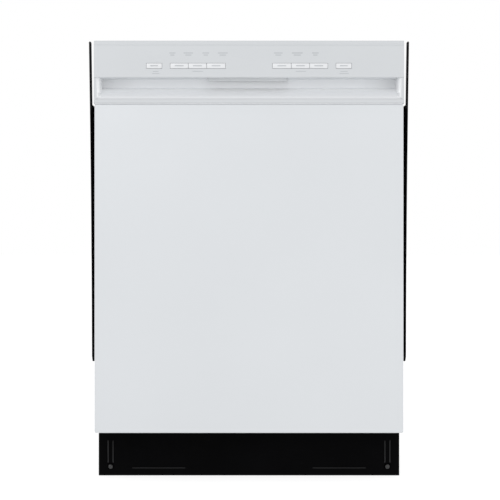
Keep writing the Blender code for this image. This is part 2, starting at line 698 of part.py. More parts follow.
# ---- door ----
def build_outer_panel():
    """A thin tray of sheet metal, open at the back, with a window at each end for the pieces beside it."""
    panel = boxes("door_outer_panel", ((-DOOR_HALF, DOOR_FACE, DOOR_BOTTOM), (DOOR_HALF, -0.2540, DOOR_TOP)))
    bevelled(panel, 0.0012, 2)
    hollow = boxes("panel_hollow", ((-DOOR_HALF + 0.001, DOOR_FACE + 0.0012, DOOR_BOTTOM + 0.001),
                                    (DOOR_HALF - 0.001, -0.240, DOOR_TOP - 0.001)))
    ends = boxes("panel_ends", ((-0.2990, -0.2900, 0.080), (0.2990, -0.240, 0.110)),
                 ((-0.2990, -0.2900, 0.730), (0.2990, -0.240, 0.750)))
    cut(panel, hollow, ends)
    part(panel, door, (WHITE, 0.35, 0.0))


def build_liner():
    """The flange plate with its raised middle, hollow behind, and holes for the dispenser and the strike."""
    bottom, top, wall = 0.142, 0.8145, 0.003
    liner = boxes("door_liner", ((-0.2995, -0.2530, 0.1122), (0.2995, LINER_BACK, 0.8565)))
    bulge = boxes("liner_bulge", ((-BULGE_HALF, -0.2520, bottom), (BULGE_HALF, BULGE_FACE, top)))
    bevelled(bulge, 0.006, 2)
    hollow = boxes("liner_hollow", ((-BULGE_HALF + wall, -0.270, bottom + wall),
                                    (BULGE_HALF - wall, BULGE_FACE - wall, top - wall)))
    openings = boxes("liner_openings",
                     *[mirrored((0.2785, -0.27, 0.10), (0.31, -0.22, 0.1250), s) for s, _ in SIDES],
                     ((-0.019, -0.27, 0.8295), (0.019, -0.22, 0.8405)),
                     ((-0.0903, -0.23, 0.3597), (0.0903, -0.20, 0.4703)))
    join(liner, bulge)
    cut(liner, hollow, openings)
    part(liner, door, (PALE, 0.35, 0.0))


def button_spans():
    """Each button's name with its low and high x, from the left."""
    edges, single = BUTTON_GROUP_EDGES, BUTTON_SINGLE_EDGES
    spans = [("button_far_left", -single[1], -single[0])]
    for n in range(3):
        spans.append((f"button_left_{n + 1}", -edges[3 - n], -edges[2 - n]))
    for n in range(3):
        spans.append((f"button_right_{n + 1}", edges[n], edges[n + 1]))
    spans.append(("button_far_right", single[0], single[1]))
    return spans


def build_console():
    console = boxes("control_console", ((-CONSOLE_HALF, CONSOLE_FACE, CONSOLE_BOTTOM),
                                        (CONSOLE_HALF, -0.2535, TOP)))
    bevelled(console, 0.0022, 2)
    wall = 0.0025
    hollow = boxes("console_hollow", ((-CONSOLE_HALF + wall, CONSOLE_FACE + 0.0028, CONSOLE_BOTTOM + wall),
                                      (CONSOLE_HALF - wall, -0.240, TOP - wall)))
    edges, single = BUTTON_GROUP_EDGES, BUTTON_SINGLE_EDGES
    spans = [mirrored((low, -0.320, BUTTON_LOW), (high, -0.300, BUTTON_HIGH), s)
             for s, _ in SIDES for low, high in ((edges[0], edges[3]), single)]
    slot = ((-0.082, LATCH_Y - 0.0065, 0.780), (0.076, LATCH_Y + 0.0155, 0.795))
    near, far = LATCH_Y - 0.0035, LATCH_Y + 0.0035
    ears = boxes("latch_ears", *[((x, near, LATCH_Z - 0.004), (x + LATCH_EAR_WIDTH, far, LATCH_Z + 0.005))
                                 for x in LATCH_EARS_X])
    ear_roots = boxes("latch_ear_roots", *[((x, near, CONSOLE_BOTTOM + 0.001),
                                            (x + LATCH_EAR_WIDTH, far, LATCH_Z)) for x in LATCH_EARS_X])
    bore = cylinders("latch_ear_bore", ((-0.0870, LATCH_Y, LATCH_Z), (1, 0, 0), 0.0018, 0.1680, 12))
    cut(console, hollow, boxes("console_windows", *spans, slot))
    join(console, ears, ear_roots)
    cut(console, bore)
    part(console, door, (WHITE, 0.35, 0.0))


def build_buttons():
    for name, low, high in button_spans():
        middle = ((low + high) / 2, CONSOLE_FACE, (BUTTON_LOW + BUTTON_HIGH) / 2)
        axis = body_axis(name + "_slide", middle, door)
        gap = BUTTON_CLEARANCE
        cap = boxes(name,
                    ((low + gap, BUTTON_FACE, BUTTON_LOW + gap), (high - gap, -0.2985, BUTTON_HIGH - gap)))
        bevelled(cap, 0.0006, 2)
        part(cap, axis, (WHITE, 0.35, 0.0))


def build_pocket():
    """A block with a round-backed recess for the fingers, hollowed from below and behind."""
    bottom, top = DOOR_TOP + 0.0013, CONSOLE_BOTTOM - 0.0004
    pocket = boxes("pocket_handle", ((-POCKET_HALF, -0.3075, bottom), (POCKET_HALF, -0.2560, top)))
    scoop = boxes("pocket_scoop", ((-0.2900, -0.3400, LIP_TOP), (0.2900, -0.2720, 0.830)))
    work = bmesh.new()
    work.from_mesh(scoop.data)
    rear_edges = [e for e in work.edges if all(v.co.y > -0.28 and v.co.z < 0.75 for v in e.verts)]
    bmesh.ops.bevel(work, geom=rear_edges, offset=0.022, segments=5, profile=0.5, affect="EDGES")
    work.to_mesh(scoop.data)
    work.free()
    below = [(-0.3040, 0.730), (-0.2500, 0.730), (-0.2500, 0.784), (-0.2690, 0.784), (-0.2690, 0.7435),
             (-0.3040, 0.7435)]
    under = plate("pocket_under", below, -0.2950, 0.5900, "X")
    cut(pocket, scoop, under)
    part(pocket, door, (WHITE, 0.35, 0.0))


def build_latch():
    """A finger strip under the console's edge, on a rod, with an arm up to a nose for the strike."""
    axis = body_axis("door_latch_hinge", (-0.003, LATCH_Y, LATCH_Z), door)
    lever = boxes("door_latch", ((-0.0800, LATCH_Y - 0.0015, 0.7835), (0.0740, LATCH_Y + 0.0015, 0.7950)))
    rod = cylinders("latch_rod", ((-0.0865, LATCH_Y, LATCH_Z), (1, 0, 0), 0.0014, 0.1670, 12))
    arm = boxes("latch_arm", ((-0.008, LATCH_Y - 0.0014, 0.7940), (0.008, LATCH_Y + 0.0014, 0.8200)))
    nose = boxes("latch_nose", ((-0.007, LATCH_Y, 0.8130), (0.007, LATCH_Y + 0.0065, 0.8190)))
    join(lever, rod, arm, nose)
    part(lever, axis, (BLACK, 0.4, 0.0))


def build_control_board():
    board = boxes("control_board", ((-0.205, -0.2945, 0.7985), (0.205, -0.2929, 0.8400)))
    items = boxes("board_items", ((-0.180, -0.2935, 0.803), (-0.130, -0.2750, 0.833)),
                  ((-0.110, -0.2935, 0.806), (-0.070, -0.2820, 0.830)),
                  ((0.070, -0.2935, 0.803), (0.150, -0.2780, 0.832)))
    join(board, items)
    part(board, door, ((0.03, 0.18, 0.08), 0.5, 0.0))


def build_hinge_arms():
    """A plate on each side: a boss on the hinge pin, an upright in the door and a tail for the spring."""
    for side, word in SIDES:
        boss = [(HINGE_Y + 0.009 * math.cos(math.radians(a)), HINGE_Z + 0.009 * math.sin(math.radians(a)))
                for a in (-70, -100, -130, -160)]
        outline = [(-0.1790, 0.0900), (-0.1790, 0.1020), (-0.2400, 0.1095), (-0.2570, 0.1130),
                   (-0.2620, 0.1250), (-0.2620, 0.2600), (-0.2900, 0.2600), (-0.2900, 0.1150),
                   (-0.2720, 0.0970)] + list(reversed(boss))
        inner = 0.2830 if side > 0 else -0.2865
        arm = plate("hinge_arm_" + word, outline, inner, 0.0035, "X")
        hole = cylinders("hinge_bore_" + word,
                         ((side * 0.270, HINGE_Y, HINGE_Z), (side, 0, 0), ARM_BORE_RADIUS, 0.03, 16))
        cut(arm, hole)
        part(arm, door, (STEEL, 0.4, 1.0))


def build_dispenser():
    """The tray in the liner with the detergent cup, its sprung lid, and the rinse-aid well and cap."""
    body = boxes("dispenser_body", ((-0.0900, -0.2380, 0.3600), (0.0900, DISPENSER_FACE, 0.4700)))
    cup = boxes("detergent_cup", (CUP_LOW, CUP_HIGH))
    well = cylinders("cap_well", ((CAP_X, -0.2180, CAP_Z), (0, 1, 0), 0.0165, 0.020))
    cut(body, cup, well)
    part(body, door, (GREY, 0.5, 0.0))
    hinge = body_axis("detergent_lid_hinge", (-0.0475, -0.2082, 0.3820), door)
    lid = boxes("detergent_lid", ((-0.0840, -0.2092, 0.3820), (-0.0110, -0.2072, 0.4380)))
    catch = boxes("lid_catch", ((-0.0560, -0.2082, 0.4300), (-0.0390, -0.2050, 0.4350)))
    join(lid, catch)
    part(lid, hinge, (GREY, 0.5, 0.0))
    turn = body_axis("rinse_aid_cap_turn", (CAP_X, DISPENSER_FACE, CAP_Z), door)
    cap = cylinders("rinse_aid_cap", ((CAP_X, -0.2175, CAP_Z), (0, 1, 0), 0.0155, 0.0100))
    grip = boxes("cap_grip",
                 ((CAP_X - 0.0130, -0.2085, CAP_Z - 0.0020), (CAP_X + 0.0130, -0.2040, CAP_Z + 0.0020)))
    join(cap, grip)
    part(cap, turn, (GREY, 0.5, 0.0))


empty_scene()
parts = collection("dishwasher")
cutters = collection("cutters")
cabinet = body_axis("cabinet", (0, 0, 0))
door = body_axis("door", (0, HINGE_Y, HINGE_Z), cabinet)
lower_arm_axis = body_axis("lower_spray_arm_spin", (0, SUMP_Y, 0.178), cabinet)
upper_rails = body_axis("upper_rails", (0, 0, RAIL_Z), cabinet)
upper_carriage = body_axis("upper_rack_carriage", (0, 0, 0.560), upper_rails)
upper_arm_axis = body_axis("upper_spray_arm_spin", (0, SUMP_Y, 0.465), upper_carriage)
lower_carriage = body_axis("lower_rack_carriage", (0, 0, 0.280), cabinet)

build_tub()
build_base_frame()
build_toe_kick()
build_side_seals()
build_gasket()
build_top_brackets()
build_sump()
build_pumps()
build_connections()
build_coarse_filter()
build_heating_element()
build_water_feed()
build_rail_guides()
build_door_springs()
build_legs()
build_fine_filter()
build_float()
spray_arm("lower_spray_arm", 0.1720, 0.220, 0.0066, 0.1680, 0.1900, lower_arm_axis)
build_upper_rack(upper_rails, upper_carriage)
spray_arm("upper_spray_arm", 0.4585, 0.200, 0.0056, 0.4550, 0.4750, upper_arm_axis)
build_lower_rack(lower_carriage)
build_silverware_basket(lower_carriage)
build_outer_panel()
build_liner()
build_console()
build_buttons()
build_pocket()
build_latch()
build_control_board()
build_hinge_arms()
build_dispenser()
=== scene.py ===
import math
import random

import bmesh
import bpy
from mathutils import Matrix, Vector


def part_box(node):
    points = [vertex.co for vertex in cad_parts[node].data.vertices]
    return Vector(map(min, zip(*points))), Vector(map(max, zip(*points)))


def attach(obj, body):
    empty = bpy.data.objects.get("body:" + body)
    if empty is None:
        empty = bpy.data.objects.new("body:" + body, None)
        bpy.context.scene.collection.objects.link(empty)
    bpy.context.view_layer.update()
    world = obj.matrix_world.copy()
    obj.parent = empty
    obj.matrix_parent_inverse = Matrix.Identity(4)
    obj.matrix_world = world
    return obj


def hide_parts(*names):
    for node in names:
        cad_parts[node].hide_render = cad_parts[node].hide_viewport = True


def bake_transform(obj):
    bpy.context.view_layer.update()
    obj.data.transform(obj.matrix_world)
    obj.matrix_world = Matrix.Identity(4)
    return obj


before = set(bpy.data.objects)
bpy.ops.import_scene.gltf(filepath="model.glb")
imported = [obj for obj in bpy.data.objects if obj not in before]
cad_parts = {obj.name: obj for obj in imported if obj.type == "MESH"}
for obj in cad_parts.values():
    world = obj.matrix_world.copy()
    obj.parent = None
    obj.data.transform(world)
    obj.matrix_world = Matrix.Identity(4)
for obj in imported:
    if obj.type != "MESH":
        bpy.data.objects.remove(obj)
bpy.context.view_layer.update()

SIDES = ((-1, "left"), (1, "right"))
RIGHT, REAR, UP = (1, 0, 0), (0, 1, 0), (0, 0, 1)
FRONT = (0, -1, 0)


# ---------------------------------------------------------------- materials
class Nodes:
    """A material's node tree, with short calls for the nodes that the surfaces share."""

    def __init__(self, name):
        self.material = bpy.data.materials.new(name)
        self.material.use_nodes = True
        self.tree = self.material.node_tree
        self.place = self.tree.nodes.new("ShaderNodeTexCoord").outputs["Object"]

    def feed(self, node, inputs):
        """Links each input that is another node's output, and sets the others; a colour has no alpha."""
        for name, value in inputs.items():
            socket = node.inputs[name]
            if isinstance(value, bpy.types.NodeSocket):
                self.tree.links.new(value, socket)
            else:
                socket.default_value = (*value, 1) if socket.type == "RGBA" else value

    def add(self, kind, output, inputs, **settings):
        node = self.tree.nodes.new("ShaderNode" + kind)
        for name, value in settings.items():
            setattr(node, name, value)
        self.feed(node, inputs)
        return node.outputs[output]

    def finished(self, inputs):
        self.feed(self.tree.nodes["Principled BSDF"], inputs)
        return self.material

    def stretched(self, scale):
        return self.add("Mapping", "Vector", {"Scale": scale, "Vector": self.place})

    def noise(self, scale, detail=2.0, roughness=0.5, vector=None):
        return self.add("TexNoise", "Fac", {"Scale": scale, "Detail": detail, "Roughness": roughness,
                                            "Vector": vector or self.place})

    def cells(self, scale):
        return self.add("TexVoronoi", "Distance", {"Scale": scale, "Vector": self.place})

    def ranged(self, value, low, high, start=0.3, end=0.7):
        """The value's range from start to end, turned into low to high."""
        return self.add("MapRange", "Result", {"Value": value, "From Min": start, "From Max": end,
                                               "To Min": low, "To Max": high})

    def calculated(self, operation, *values):
        return self.add("Math", "Value", dict(enumerate(values)), operation=operation)

    def mixed(self, value, first, second):
        """A blend from the first colour to the second; either may be another node's output."""
        return self.add("Mix", "Result", {"Factor": value, "A": first, "B": second}, data_type="RGBA")

    def bump(self, height, strength, distance, under=None):
        inputs = {"Height": height, "Strength": strength, "Distance": distance}
        if under is not None:
            inputs["Normal"] = under
        return self.add("Bump", "Normal", inputs)


def scaled(colour, factor):
    return tuple(min(1.0, c * factor) for c in colour)


def moulded(name, colour, roughness, grain=900.0, grain_depth=0.00004, shade=0.93, coat=0.0, specular=0.5):
    """Moulded plastic: a fine spark-eroded grain, and slow changes in tone and gloss."""
    n = Nodes(name)
    return n.finished({
        "Base Color": n.mixed(n.ranged(n.noise(9.0, 3.0), 0, 1), scaled(colour, shade), colour),
        "Roughness": n.ranged(n.noise(60.0, 4.0), roughness - 0.05, roughness + 0.07),
        "Normal": n.bump(n.noise(grain, 3.0), 0.5, grain_depth),
        "Coat Weight": coat, "Coat Roughness": 0.2, "Specular IOR Level": specular})


def enamelled(name, colour, roughness):
    """Painted sheet metal: orange peel under a clear gloss, and slow waves in the sheet."""
    n = Nodes(name)
    peel = n.bump(n.noise(420.0, 2.0), 0.35, 0.00006)
    return n.finished({
        "Base Color": n.mixed(n.ranged(n.noise(3.0, 2.0), 0, 1), scaled(colour, 0.975), colour),
        "Roughness": n.ranged(n.noise(25.0, 3.0), roughness - 0.03, roughness + 0.05),
        "Normal": n.bump(n.noise(4.0, 1.0), 0.25, 0.0004, peel),
        "Coat Weight": 0.25, "Coat Roughness": 0.12})


def brushed(name, colour, roughness, along="X", streak=0.00003, spots=0.85):
    """Brushed sheet steel: fine streaks along one axis, with smudges that change its tone."""
    n = Nodes(name)
    scale = {"X": (8, 900, 900), "Z": (900, 900, 8)}[along]
    lines = n.noise(1.0, 4.0, 0.6, n.stretched(scale))
    smudge = n.noise(7.0, 5.0, 0.6)
    return n.finished({
        "Base Color": n.mixed(n.ranged(smudge, 0, 1), scaled(colour, spots), colour),
        "Roughness": n.ranged(lines, roughness - 0.06, roughness + 0.12),
        "Normal": n.bump(lines, 0.5, streak),
        "Metallic": 1.0})


def plated(name, colour, roughness):
    """Plated metal: a crystalline mottle under fine grain."""
    n = Nodes(name)
    return n.finished({
        "Base Color": n.mixed(n.ranged(n.cells(220.0), 0, 1, 0.1, 0.8), scaled(colour, 0.8), colour),
        "Roughness": n.ranged(n.noise(120.0, 3.0), roughness - 0.07, roughness + 0.12),
        "Normal": n.bump(n.noise(500.0, 2.0), 0.3, 0.00003),
        "Metallic": 1.0})


def rubbery(name, colour, roughness, specular):
    """Extruded rubber: streaks along its length and a dusty bloom."""
    n = Nodes(name)
    lines = n.noise(1.0, 3.0, 0.5, n.stretched((1400, 1400, 30)))
    return n.finished({
        "Base Color": n.mixed(n.ranged(n.noise(30.0, 4.0, 0.6), 0, 1), colour, scaled(colour, 1.7)),
        "Roughness": n.ranged(lines, roughness - 0.05, roughness + 0.08),
        "Normal": n.bump(lines, 0.4, 0.00008),
        "Specular IOR Level": specular})


def mastic(name, colour):
    """Sound-deadening mastic sheet: a dull, pitted, slightly wavy surface."""
    n = Nodes(name)
    pits = n.bump(n.cells(420.0), 0.6, 0.0003)
    return n.finished({
        "Base Color": n.mixed(n.ranged(n.noise(14.0, 4.0, 0.6), 0, 1), colour, scaled(colour, 1.9)),
        "Roughness": n.ranged(n.noise(90.0, 3.0), 0.72, 0.92),
        "Normal": n.bump(n.noise(35.0, 3.0), 0.5, 0.0012, pits)})


def painted_shade_moulding(name, stops, roughness, ends):
    """Moulded plastic with painted shade: its tone changes with height, each stop being a height and the
    colour that is reached there, set lighter or darker as light and shade fall in the recess. Towards the
    last stop it also has a painted shadow near both ends, over the two distances."""
    n = Nodes(name)
    split = n.tree.nodes.new("ShaderNodeSeparateXYZ")
    n.feed(split, {"Vector": n.place})
    height = split.outputs["Z"]
    colour = stops[0][1]
    # painted shade: the tones by height stand in for the light and shade in the recess
    for (start, _), (end, upper) in zip(stops, stops[1:]):
        colour = n.mixed(n.ranged(height, 0, 1, start, end), colour, upper)
    # painted shadow: the back wall darkens towards both ends of the recess
    painted_end_shadow = n.ranged(n.calculated("ABSOLUTE", split.outputs["X"]), 0, 1, *ends)
    on_wall = n.ranged(height, 0, 1, stops[-2][0], stops[-1][0])
    end_shadow_colour = scaled(stops[-1][1], 0.84)
    return n.finished({
        "Base Color": n.mixed(n.calculated("MULTIPLY", painted_end_shadow, on_wall), colour, end_shadow_colour),
        "Roughness": n.ranged(n.noise(60.0, 4.0), roughness - 0.05, roughness + 0.07),
        "Normal": n.bump(n.noise(1100.0, 3.0), 0.5, 0.00003)})


PAINT = enamelled("white_enamel", (0.595, 0.614, 0.634), 0.34)
CONSOLE = moulded("console_moulding", (0.528, 0.545, 0.562), 0.36, 1100, 0.00003, 0.985, 0.15)
# Painted shade in the pocket: darkest at the lip, lighter up the floor to the brightest band where it meets
# the back wall, the back wall a little less bright.
POCKET_PAINTED_SHADES = ((0.7455, (0.53, 0.542, 0.558)), (0.75, (0.62, 0.632, 0.65)),
                (0.756, (0.685, 0.698, 0.716)), (0.761, (0.76, 0.773, 0.792)),
                (0.7672, (0.9, 0.905, 0.91)), (0.7702, (0.78, 0.795, 0.815)))
POCKET_PAINTED_SHADE = painted_shade_moulding("pocket_moulding_painted_shade", POCKET_PAINTED_SHADES, 0.42, (0.225, 0.29))
# Painted light: lighter copies of the pocket's moulding for its cheeks and the tongue behind the seam, the
# inner cheeks lightest, lifting the shade in the recess's ends and the seam.
CHEEK_PAINTED_LIGHT = moulded("pocket_cheek_painted_light", (0.7, 0.712, 0.73), 0.38, 1100, 0.00003, 0.98, 0.1)
INNER_CHEEK_PAINTED_LIGHT = moulded("pocket_inner_cheek_painted_light", (0.9, 0.91, 0.92), 0.38, 1100, 0.00003, 0.98, 0.1)
BUTTON = moulded("button_moulding", (0.655, 0.665, 0.68), 0.33, 1300, 0.00002, 0.98, 0.2)
# The latch's moulding, also put on the console's underside as painted light.
LATCH_AND_UNDERSIDE_LIGHT = moulded("latch_and_underside_painted_light", (0.66, 0.68, 0.7), 0.42)
PRINT = moulded("print_ink", (0.4, 0.42, 0.44), 0.6, 1500, 0.00002, 0.85)
SEAL = rubbery("seal_rubber_black", (0.0022, 0.0022, 0.0028), 0.62, 0.12)
GASKET = rubbery("gasket_rubber_grey", (0.17, 0.175, 0.18), 0.6, 0.4)
KICK = moulded("kick_black", (0.0018, 0.0018, 0.0021), 0.5, 700, 0.00005, 0.7, 0.0, 0.02)
# Painted highlight: a lighter, glossier black for the kick's raised channels and crease, standing in for the
# light they catch.
KICK_PAINTED_HIGHLIGHT = moulded("kick_painted_highlight", (0.02, 0.02, 0.021), 0.4, 700, 0.00003, 0.7, 0.0, 0.3)
BLACKENED = moulded("blackened_steel", (0.011, 0.011, 0.012), 0.3, 500, 0.00002, 0.8, 0.3)
TUB = brushed("tub_steel", (0.6, 0.6, 0.59), 0.3, "Z")
SHEET = brushed("bracket_steel", (0.55, 0.55, 0.56), 0.33, "X")
HEATER = brushed("heater_steel", (0.3, 0.28, 0.26), 0.42, "X", 0.00002, 0.6)
ZINC = plated("zinc_steel", (0.58, 0.59, 0.6), 0.36)
LINER = moulded("liner_moulding", (0.6, 0.62, 0.64), 0.4, 800, 0.00005, 0.96)
GREY = moulded("grey_moulding", (0.22, 0.235, 0.25), 0.45, 800, 0.00006, 0.88)
BLUE = moulded("blue_grey_moulding", (0.1, 0.16, 0.22), 0.42, 800, 0.00006, 0.88)
BASE = moulded("base_moulding", (0.035, 0.036, 0.04), 0.55, 500, 0.0001, 0.8)
PUMP = moulded("pump_moulding", (0.018, 0.018, 0.02), 0.45, 600, 0.00008, 0.8)
COPPER = plated("winding_copper", (0.62, 0.28, 0.13), 0.35)
RACK = moulded("rack_nylon", (0.43, 0.46, 0.49), 0.38, 500, 0.00006, 0.9, 0.2)
BOARD = moulded("board_laminate", (0.012, 0.085, 0.04), 0.4, 600, 0.00004, 0.8, 0.3)
MASTIC = mastic("mastic_sheet", (0.02, 0.019, 0.018))

NODE_MATERIALS = {
    PAINT: ("door_outer_panel",),
    CONSOLE: ("control_console",),
    POCKET_PAINTED_SHADE: ("pocket_handle",),
    LATCH_AND_UNDERSIDE_LIGHT: ("door_latch",),
    SEAL: ("side_seal_left", "side_seal_right"),
    GASKET: ("door_gasket",),
    KICK: ("toe_kick_panel",),
    TUB: ("tub",),
    SHEET: ("mounting_bracket_left", "mounting_bracket_right", "latch_strike", "coarse_filter"),
    HEATER: ("heating_element",),
    ZINC: ("rail_guide_left", "rail_guide_right", "rack_rail_left", "rack_rail_right", "junction_box",
           "hinge_arm_left", "hinge_arm_right", "door_spring_left", "door_spring_right",
           "toe_kick_screw_left", "toe_kick_screw_right"),
    LINER: ("door_liner", "inlet_valve"),
    GREY: ("sump", "drain_pump", "water_feed_tube", "fine_filter", "float_cap", "upper_spray_arm",
           "lower_spray_arm", "rack_manifold", "silverware_basket"),
    BLUE: ("dispenser_body", "detergent_lid", "rinse_aid_cap"),
    BASE: ("base_frame",),
    PUMP: ("circulation_pump",),
    RACK: ("upper_rack", "lower_rack"),
    BOARD: ("control_board",),
}


def dress(node, material):
    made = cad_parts[node]
    made.data.materials.clear()
    made.data.materials.append(material)


for finish, names in NODE_MATERIALS.items():
    for name in names:
        dress(name, finish)
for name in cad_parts:
    if name.startswith("button_"):
        dress(name, BUTTON)
    elif name.startswith("leveling_leg"):
        dress(name, PUMP)
    elif name.startswith("lower_rack_wheel"):
        dress(name, GREY)


def placed(name, data):
    """A new object in the scene."""
    made = bpy.data.objects.new(name, data)
    bpy.context.scene.collection.objects.link(made)
    return made


def piece(name, data, material, body, *nodes, slot=None):
    """Adds a finished mesh or curve as a piece that rides on a body and stands for the CAD nodes."""
    made = placed(name, data)
    data.materials.append(material)
    if isinstance(data, bpy.types.Mesh):
        data.shade_smooth()
        data.set_sharp_from_angle(angle=math.radians(40))
    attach(made, body)
    if nodes:
        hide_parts(*nodes)
    return made


def to_mesh(name, work):
    bmesh.ops.recalc_face_normals(work, faces=work.faces)
    data = bpy.data.meshes.new(name)
    work.to_mesh(data)
    work.free()
    return data


def carved(work, *cuts):
    """The mesh of a bmesh with others taken out of it."""
    holder = placed("carving", to_mesh("carving", work))
    tools = [placed("cutter", to_mesh("cutter", cut)) for cut in cuts]
    for tool in tools:
        step = holder.modifiers.new("cut", "BOOLEAN")
        step.operation = "DIFFERENCE"
        step.solver = "EXACT"
        step.object = tool
    made = evaluated_mesh(holder)
    for tool in tools:
        bpy.data.objects.remove(tool, do_unlink=True)
    made.materials.clear()
    return made


def evaluated_mesh(holder):
    """The mesh that an object shows; the object is removed."""
    evaluated = holder.evaluated_get(bpy.context.evaluated_depsgraph_get())
    data = bpy.data.meshes.new_from_object(evaluated)
    bpy.data.objects.remove(holder, do_unlink=True)
    return data


def solid(name, work, material, body, *nodes, cuts=(), slot=None):
    """Adds a bmesh as a finished piece, with the cuts taken out of it."""
    data = carved(work, *cuts) if cuts else to_mesh(name, work)
    return piece(name, data, material, body, *nodes, slot=slot)


def thickened(made, thickness):
    """Gives a piece made as one surface the thickness of its sheet, behind that surface."""
    sheet = made.modifiers.new("sheet", "SOLIDIFY")
    sheet.thickness = thickness
    sheet.offset = -1


def new_verts(result):
    """The vertices that an extrusion made."""
    return [g for g in result["geom"] if isinstance(g, bmesh.types.BMVert)]


def middle_of(name):
    """A CAD node's box and its middle."""
    low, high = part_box(name)
    return low, high, (low + high) / 2


def add_box(work, low, high, bevel=0.0, segments=2):
    """A box with rounded edges."""
    middle = [(a + b) / 2 for a, b in zip(low, high)]
    size = [abs(b - a) for a, b in zip(low, high)]
    matrix = Matrix.Translation(middle) @ Matrix.Diagonal((*size, 1))
    made = bmesh.ops.create_cube(work, size=1, matrix=matrix)
    if bevel > 0:
        soften(work, list({e for v in made["verts"] for e in v.link_edges}), bevel, segments)


def soften(work, edges, offset, segments=2, clamp=False):
    """Rounds the edges."""
    bmesh.ops.bevel(work, geom=edges, offset=offset, segments=segments, profile=0.5, affect="EDGES",
                    clamp_overlap=clamp)


def along(start, axis):
    """A frame at start whose +Z is the axis."""
    turn = Vector(UP).rotation_difference(Vector(axis)).to_matrix().to_4x4()
    return Matrix.Translation(start) @ turn


def turned(place, degrees):
    """A frame turned about its own +Z."""
    return place @ Matrix.Rotation(math.radians(degrees), 4, "Z")


def ring_at(work, place, radius, height, segments):
    """A circle of vertices about a frame's +Z, or the one vertex on the axis."""
    if radius <= 0:
        return [work.verts.new(place @ Vector((0, 0, height)))]
    return [work.verts.new(place @ Vector((radius * math.cos(a), radius * math.sin(a), height)))
            for a in (2 * math.pi * n / segments for n in range(segments))]


def add_skin(work, rows, closed=True):
    """Faces between each row of vertices and the next; closed joins each row's end to its start."""
    for lower, upper in zip(rows, rows[1:]):
        for n in range(len(lower) - (0 if closed else 1)):
            m = (n + 1) % len(lower)
            work.faces.new((lower[n], lower[m], upper[m], upper[n]))


def add_ring(work, profile, place, segments=48):
    """A ring: a closed (radius, height) section turned about +Z."""
    rings = [ring_at(work, place, radius, height, segments) for radius, height in profile]
    add_skin(work, rings + rings[:1])


def add_turned(work, profile, place, segments=32):
    """A closed solid: (radius, height) points turned about +Z; the first and last lie on the axis."""
    rings = [ring_at(work, place, radius, height, segments) for radius, height in profile]
    for lower, upper in zip(rings, rings[1:]):
        for n in range(segments):
            m = (n + 1) % segments
            corners = [lower[n % len(lower)], lower[m % len(lower)],
                       upper[m % len(upper)], upper[n % len(upper)]]
            corners = list(dict.fromkeys(corners))
            if len(corners) > 2:
                work.faces.new(corners)


def add_rod(work, start, axis, radius, length, segments=24):
    """A round rod with softened ends."""
    edge = radius * 0.08
    half = [(0, 0), (radius - edge, 0), (radius - edge * 0.3, edge * 0.3), (radius, edge)]
    far = [(r, length - h) for r, h in reversed(half)]
    add_turned(work, half + far, along(start, axis), segments)


def add_block(work, place, middle, size):
    """A plain block in a frame."""
    matrix = place @ Matrix.Translation(middle) @ Matrix.Diagonal((*size, 1))
    bmesh.ops.create_cube(work, size=1, matrix=matrix)


def add_fin(work, outline, thickness, place):
    """A flat (radius, height) outline, given a thickness across the radius."""
    first = [work.verts.new(place @ Vector((r, -thickness / 2, h))) for r, h in outline]
    second = [work.verts.new(place @ Vector((r, thickness / 2, h))) for r, h in outline]
    work.faces.new(first)
    work.faces.new(list(reversed(second)))
    for n in range(len(first)):
        m = (n + 1) % len(first)
        work.faces.new((first[n], second[n], second[m], first[m]))


def add_outline(work, points, start, thickness, axis, bevel=0.0, segments=2):
    """A flat outline extruded from start; points are in the two other axes: YZ, XZ or XY."""
    def corner(u, v, w):
        return {"X": (w, u, v), "Y": (u, w, v), "Z": (u, v, w)}[axis]
    first = [work.verts.new(corner(u, v, start)) for u, v in points]
    face = work.faces.new(first)
    verts = new_verts(bmesh.ops.extrude_face_region(work, geom=[face]))
    bmesh.ops.translate(work, verts=verts, vec=corner(0, 0, thickness))
    if bevel > 0:
        rims = [e for e in {e for v in first + verts for e in v.link_edges}
                if (e.verts[0] in first) == (e.verts[1] in first)]
        soften(work, rims, bevel, segments)


def arc(centre, radius, start, end, steps):
    """Points on a circle, from one angle to another in degrees."""
    turn = [math.radians(start + (end - start) * n / steps) for n in range(steps + 1)]
    return [(centre[0] + radius * math.cos(a), centre[1] + radius * math.sin(a)) for a in turn]


def rounded_rectangle(x0, x1, z0, z1, radius, steps=6):
    """The outline of a rectangle with round corners, anticlockwise from the lower right."""
    corners = (((x1 - radius, z0 + radius), -90), ((x1 - radius, z1 - radius), 0),
               ((x0 + radius, z1 - radius), 90), ((x0 + radius, z0 + radius), 180))
    return [p for centre, start in corners for p in arc(centre, radius, start, start + 90, steps)]


def rounded(points, radius, steps=4):
    """An open path with each corner turned into an arc-like bend."""
    points = [Vector(p) for p in points]
    out = [points[0]]
    for previous, point, following in zip(points, points[1:], points[2:]):
        before, after = previous - point, following - point
        reach = min(radius, before.length * 0.49, after.length * 0.49)
        a, b = point + before.normalized() * reach, point + after.normalized() * reach
        for t in spread(0, 1, steps + 1):
            out.append(a * (1 - t) ** 2 + point * 2 * t * (1 - t) + b * t ** 2)
    return out + [points[-1]]


def wire_curve(name, paths, radius, closed=(), resolution=3):
    """Round wires: one curve with a spline for each path; closed lists the looped ones."""
    curve = bpy.data.curves.new(name, "CURVE")
    curve.dimensions = "3D"
    curve.bevel_depth = radius
    curve.bevel_resolution = resolution
    curve.use_fill_caps = True
    for number, path in enumerate(paths):
        spline = curve.splines.new("POLY")
        spline.points.add(len(path) - 1)
        for point, co in zip(spline.points, path):
            point.co = (*co, 1)
        spline.use_cyclic_u = number in closed
        spline.use_smooth = True
    return curve


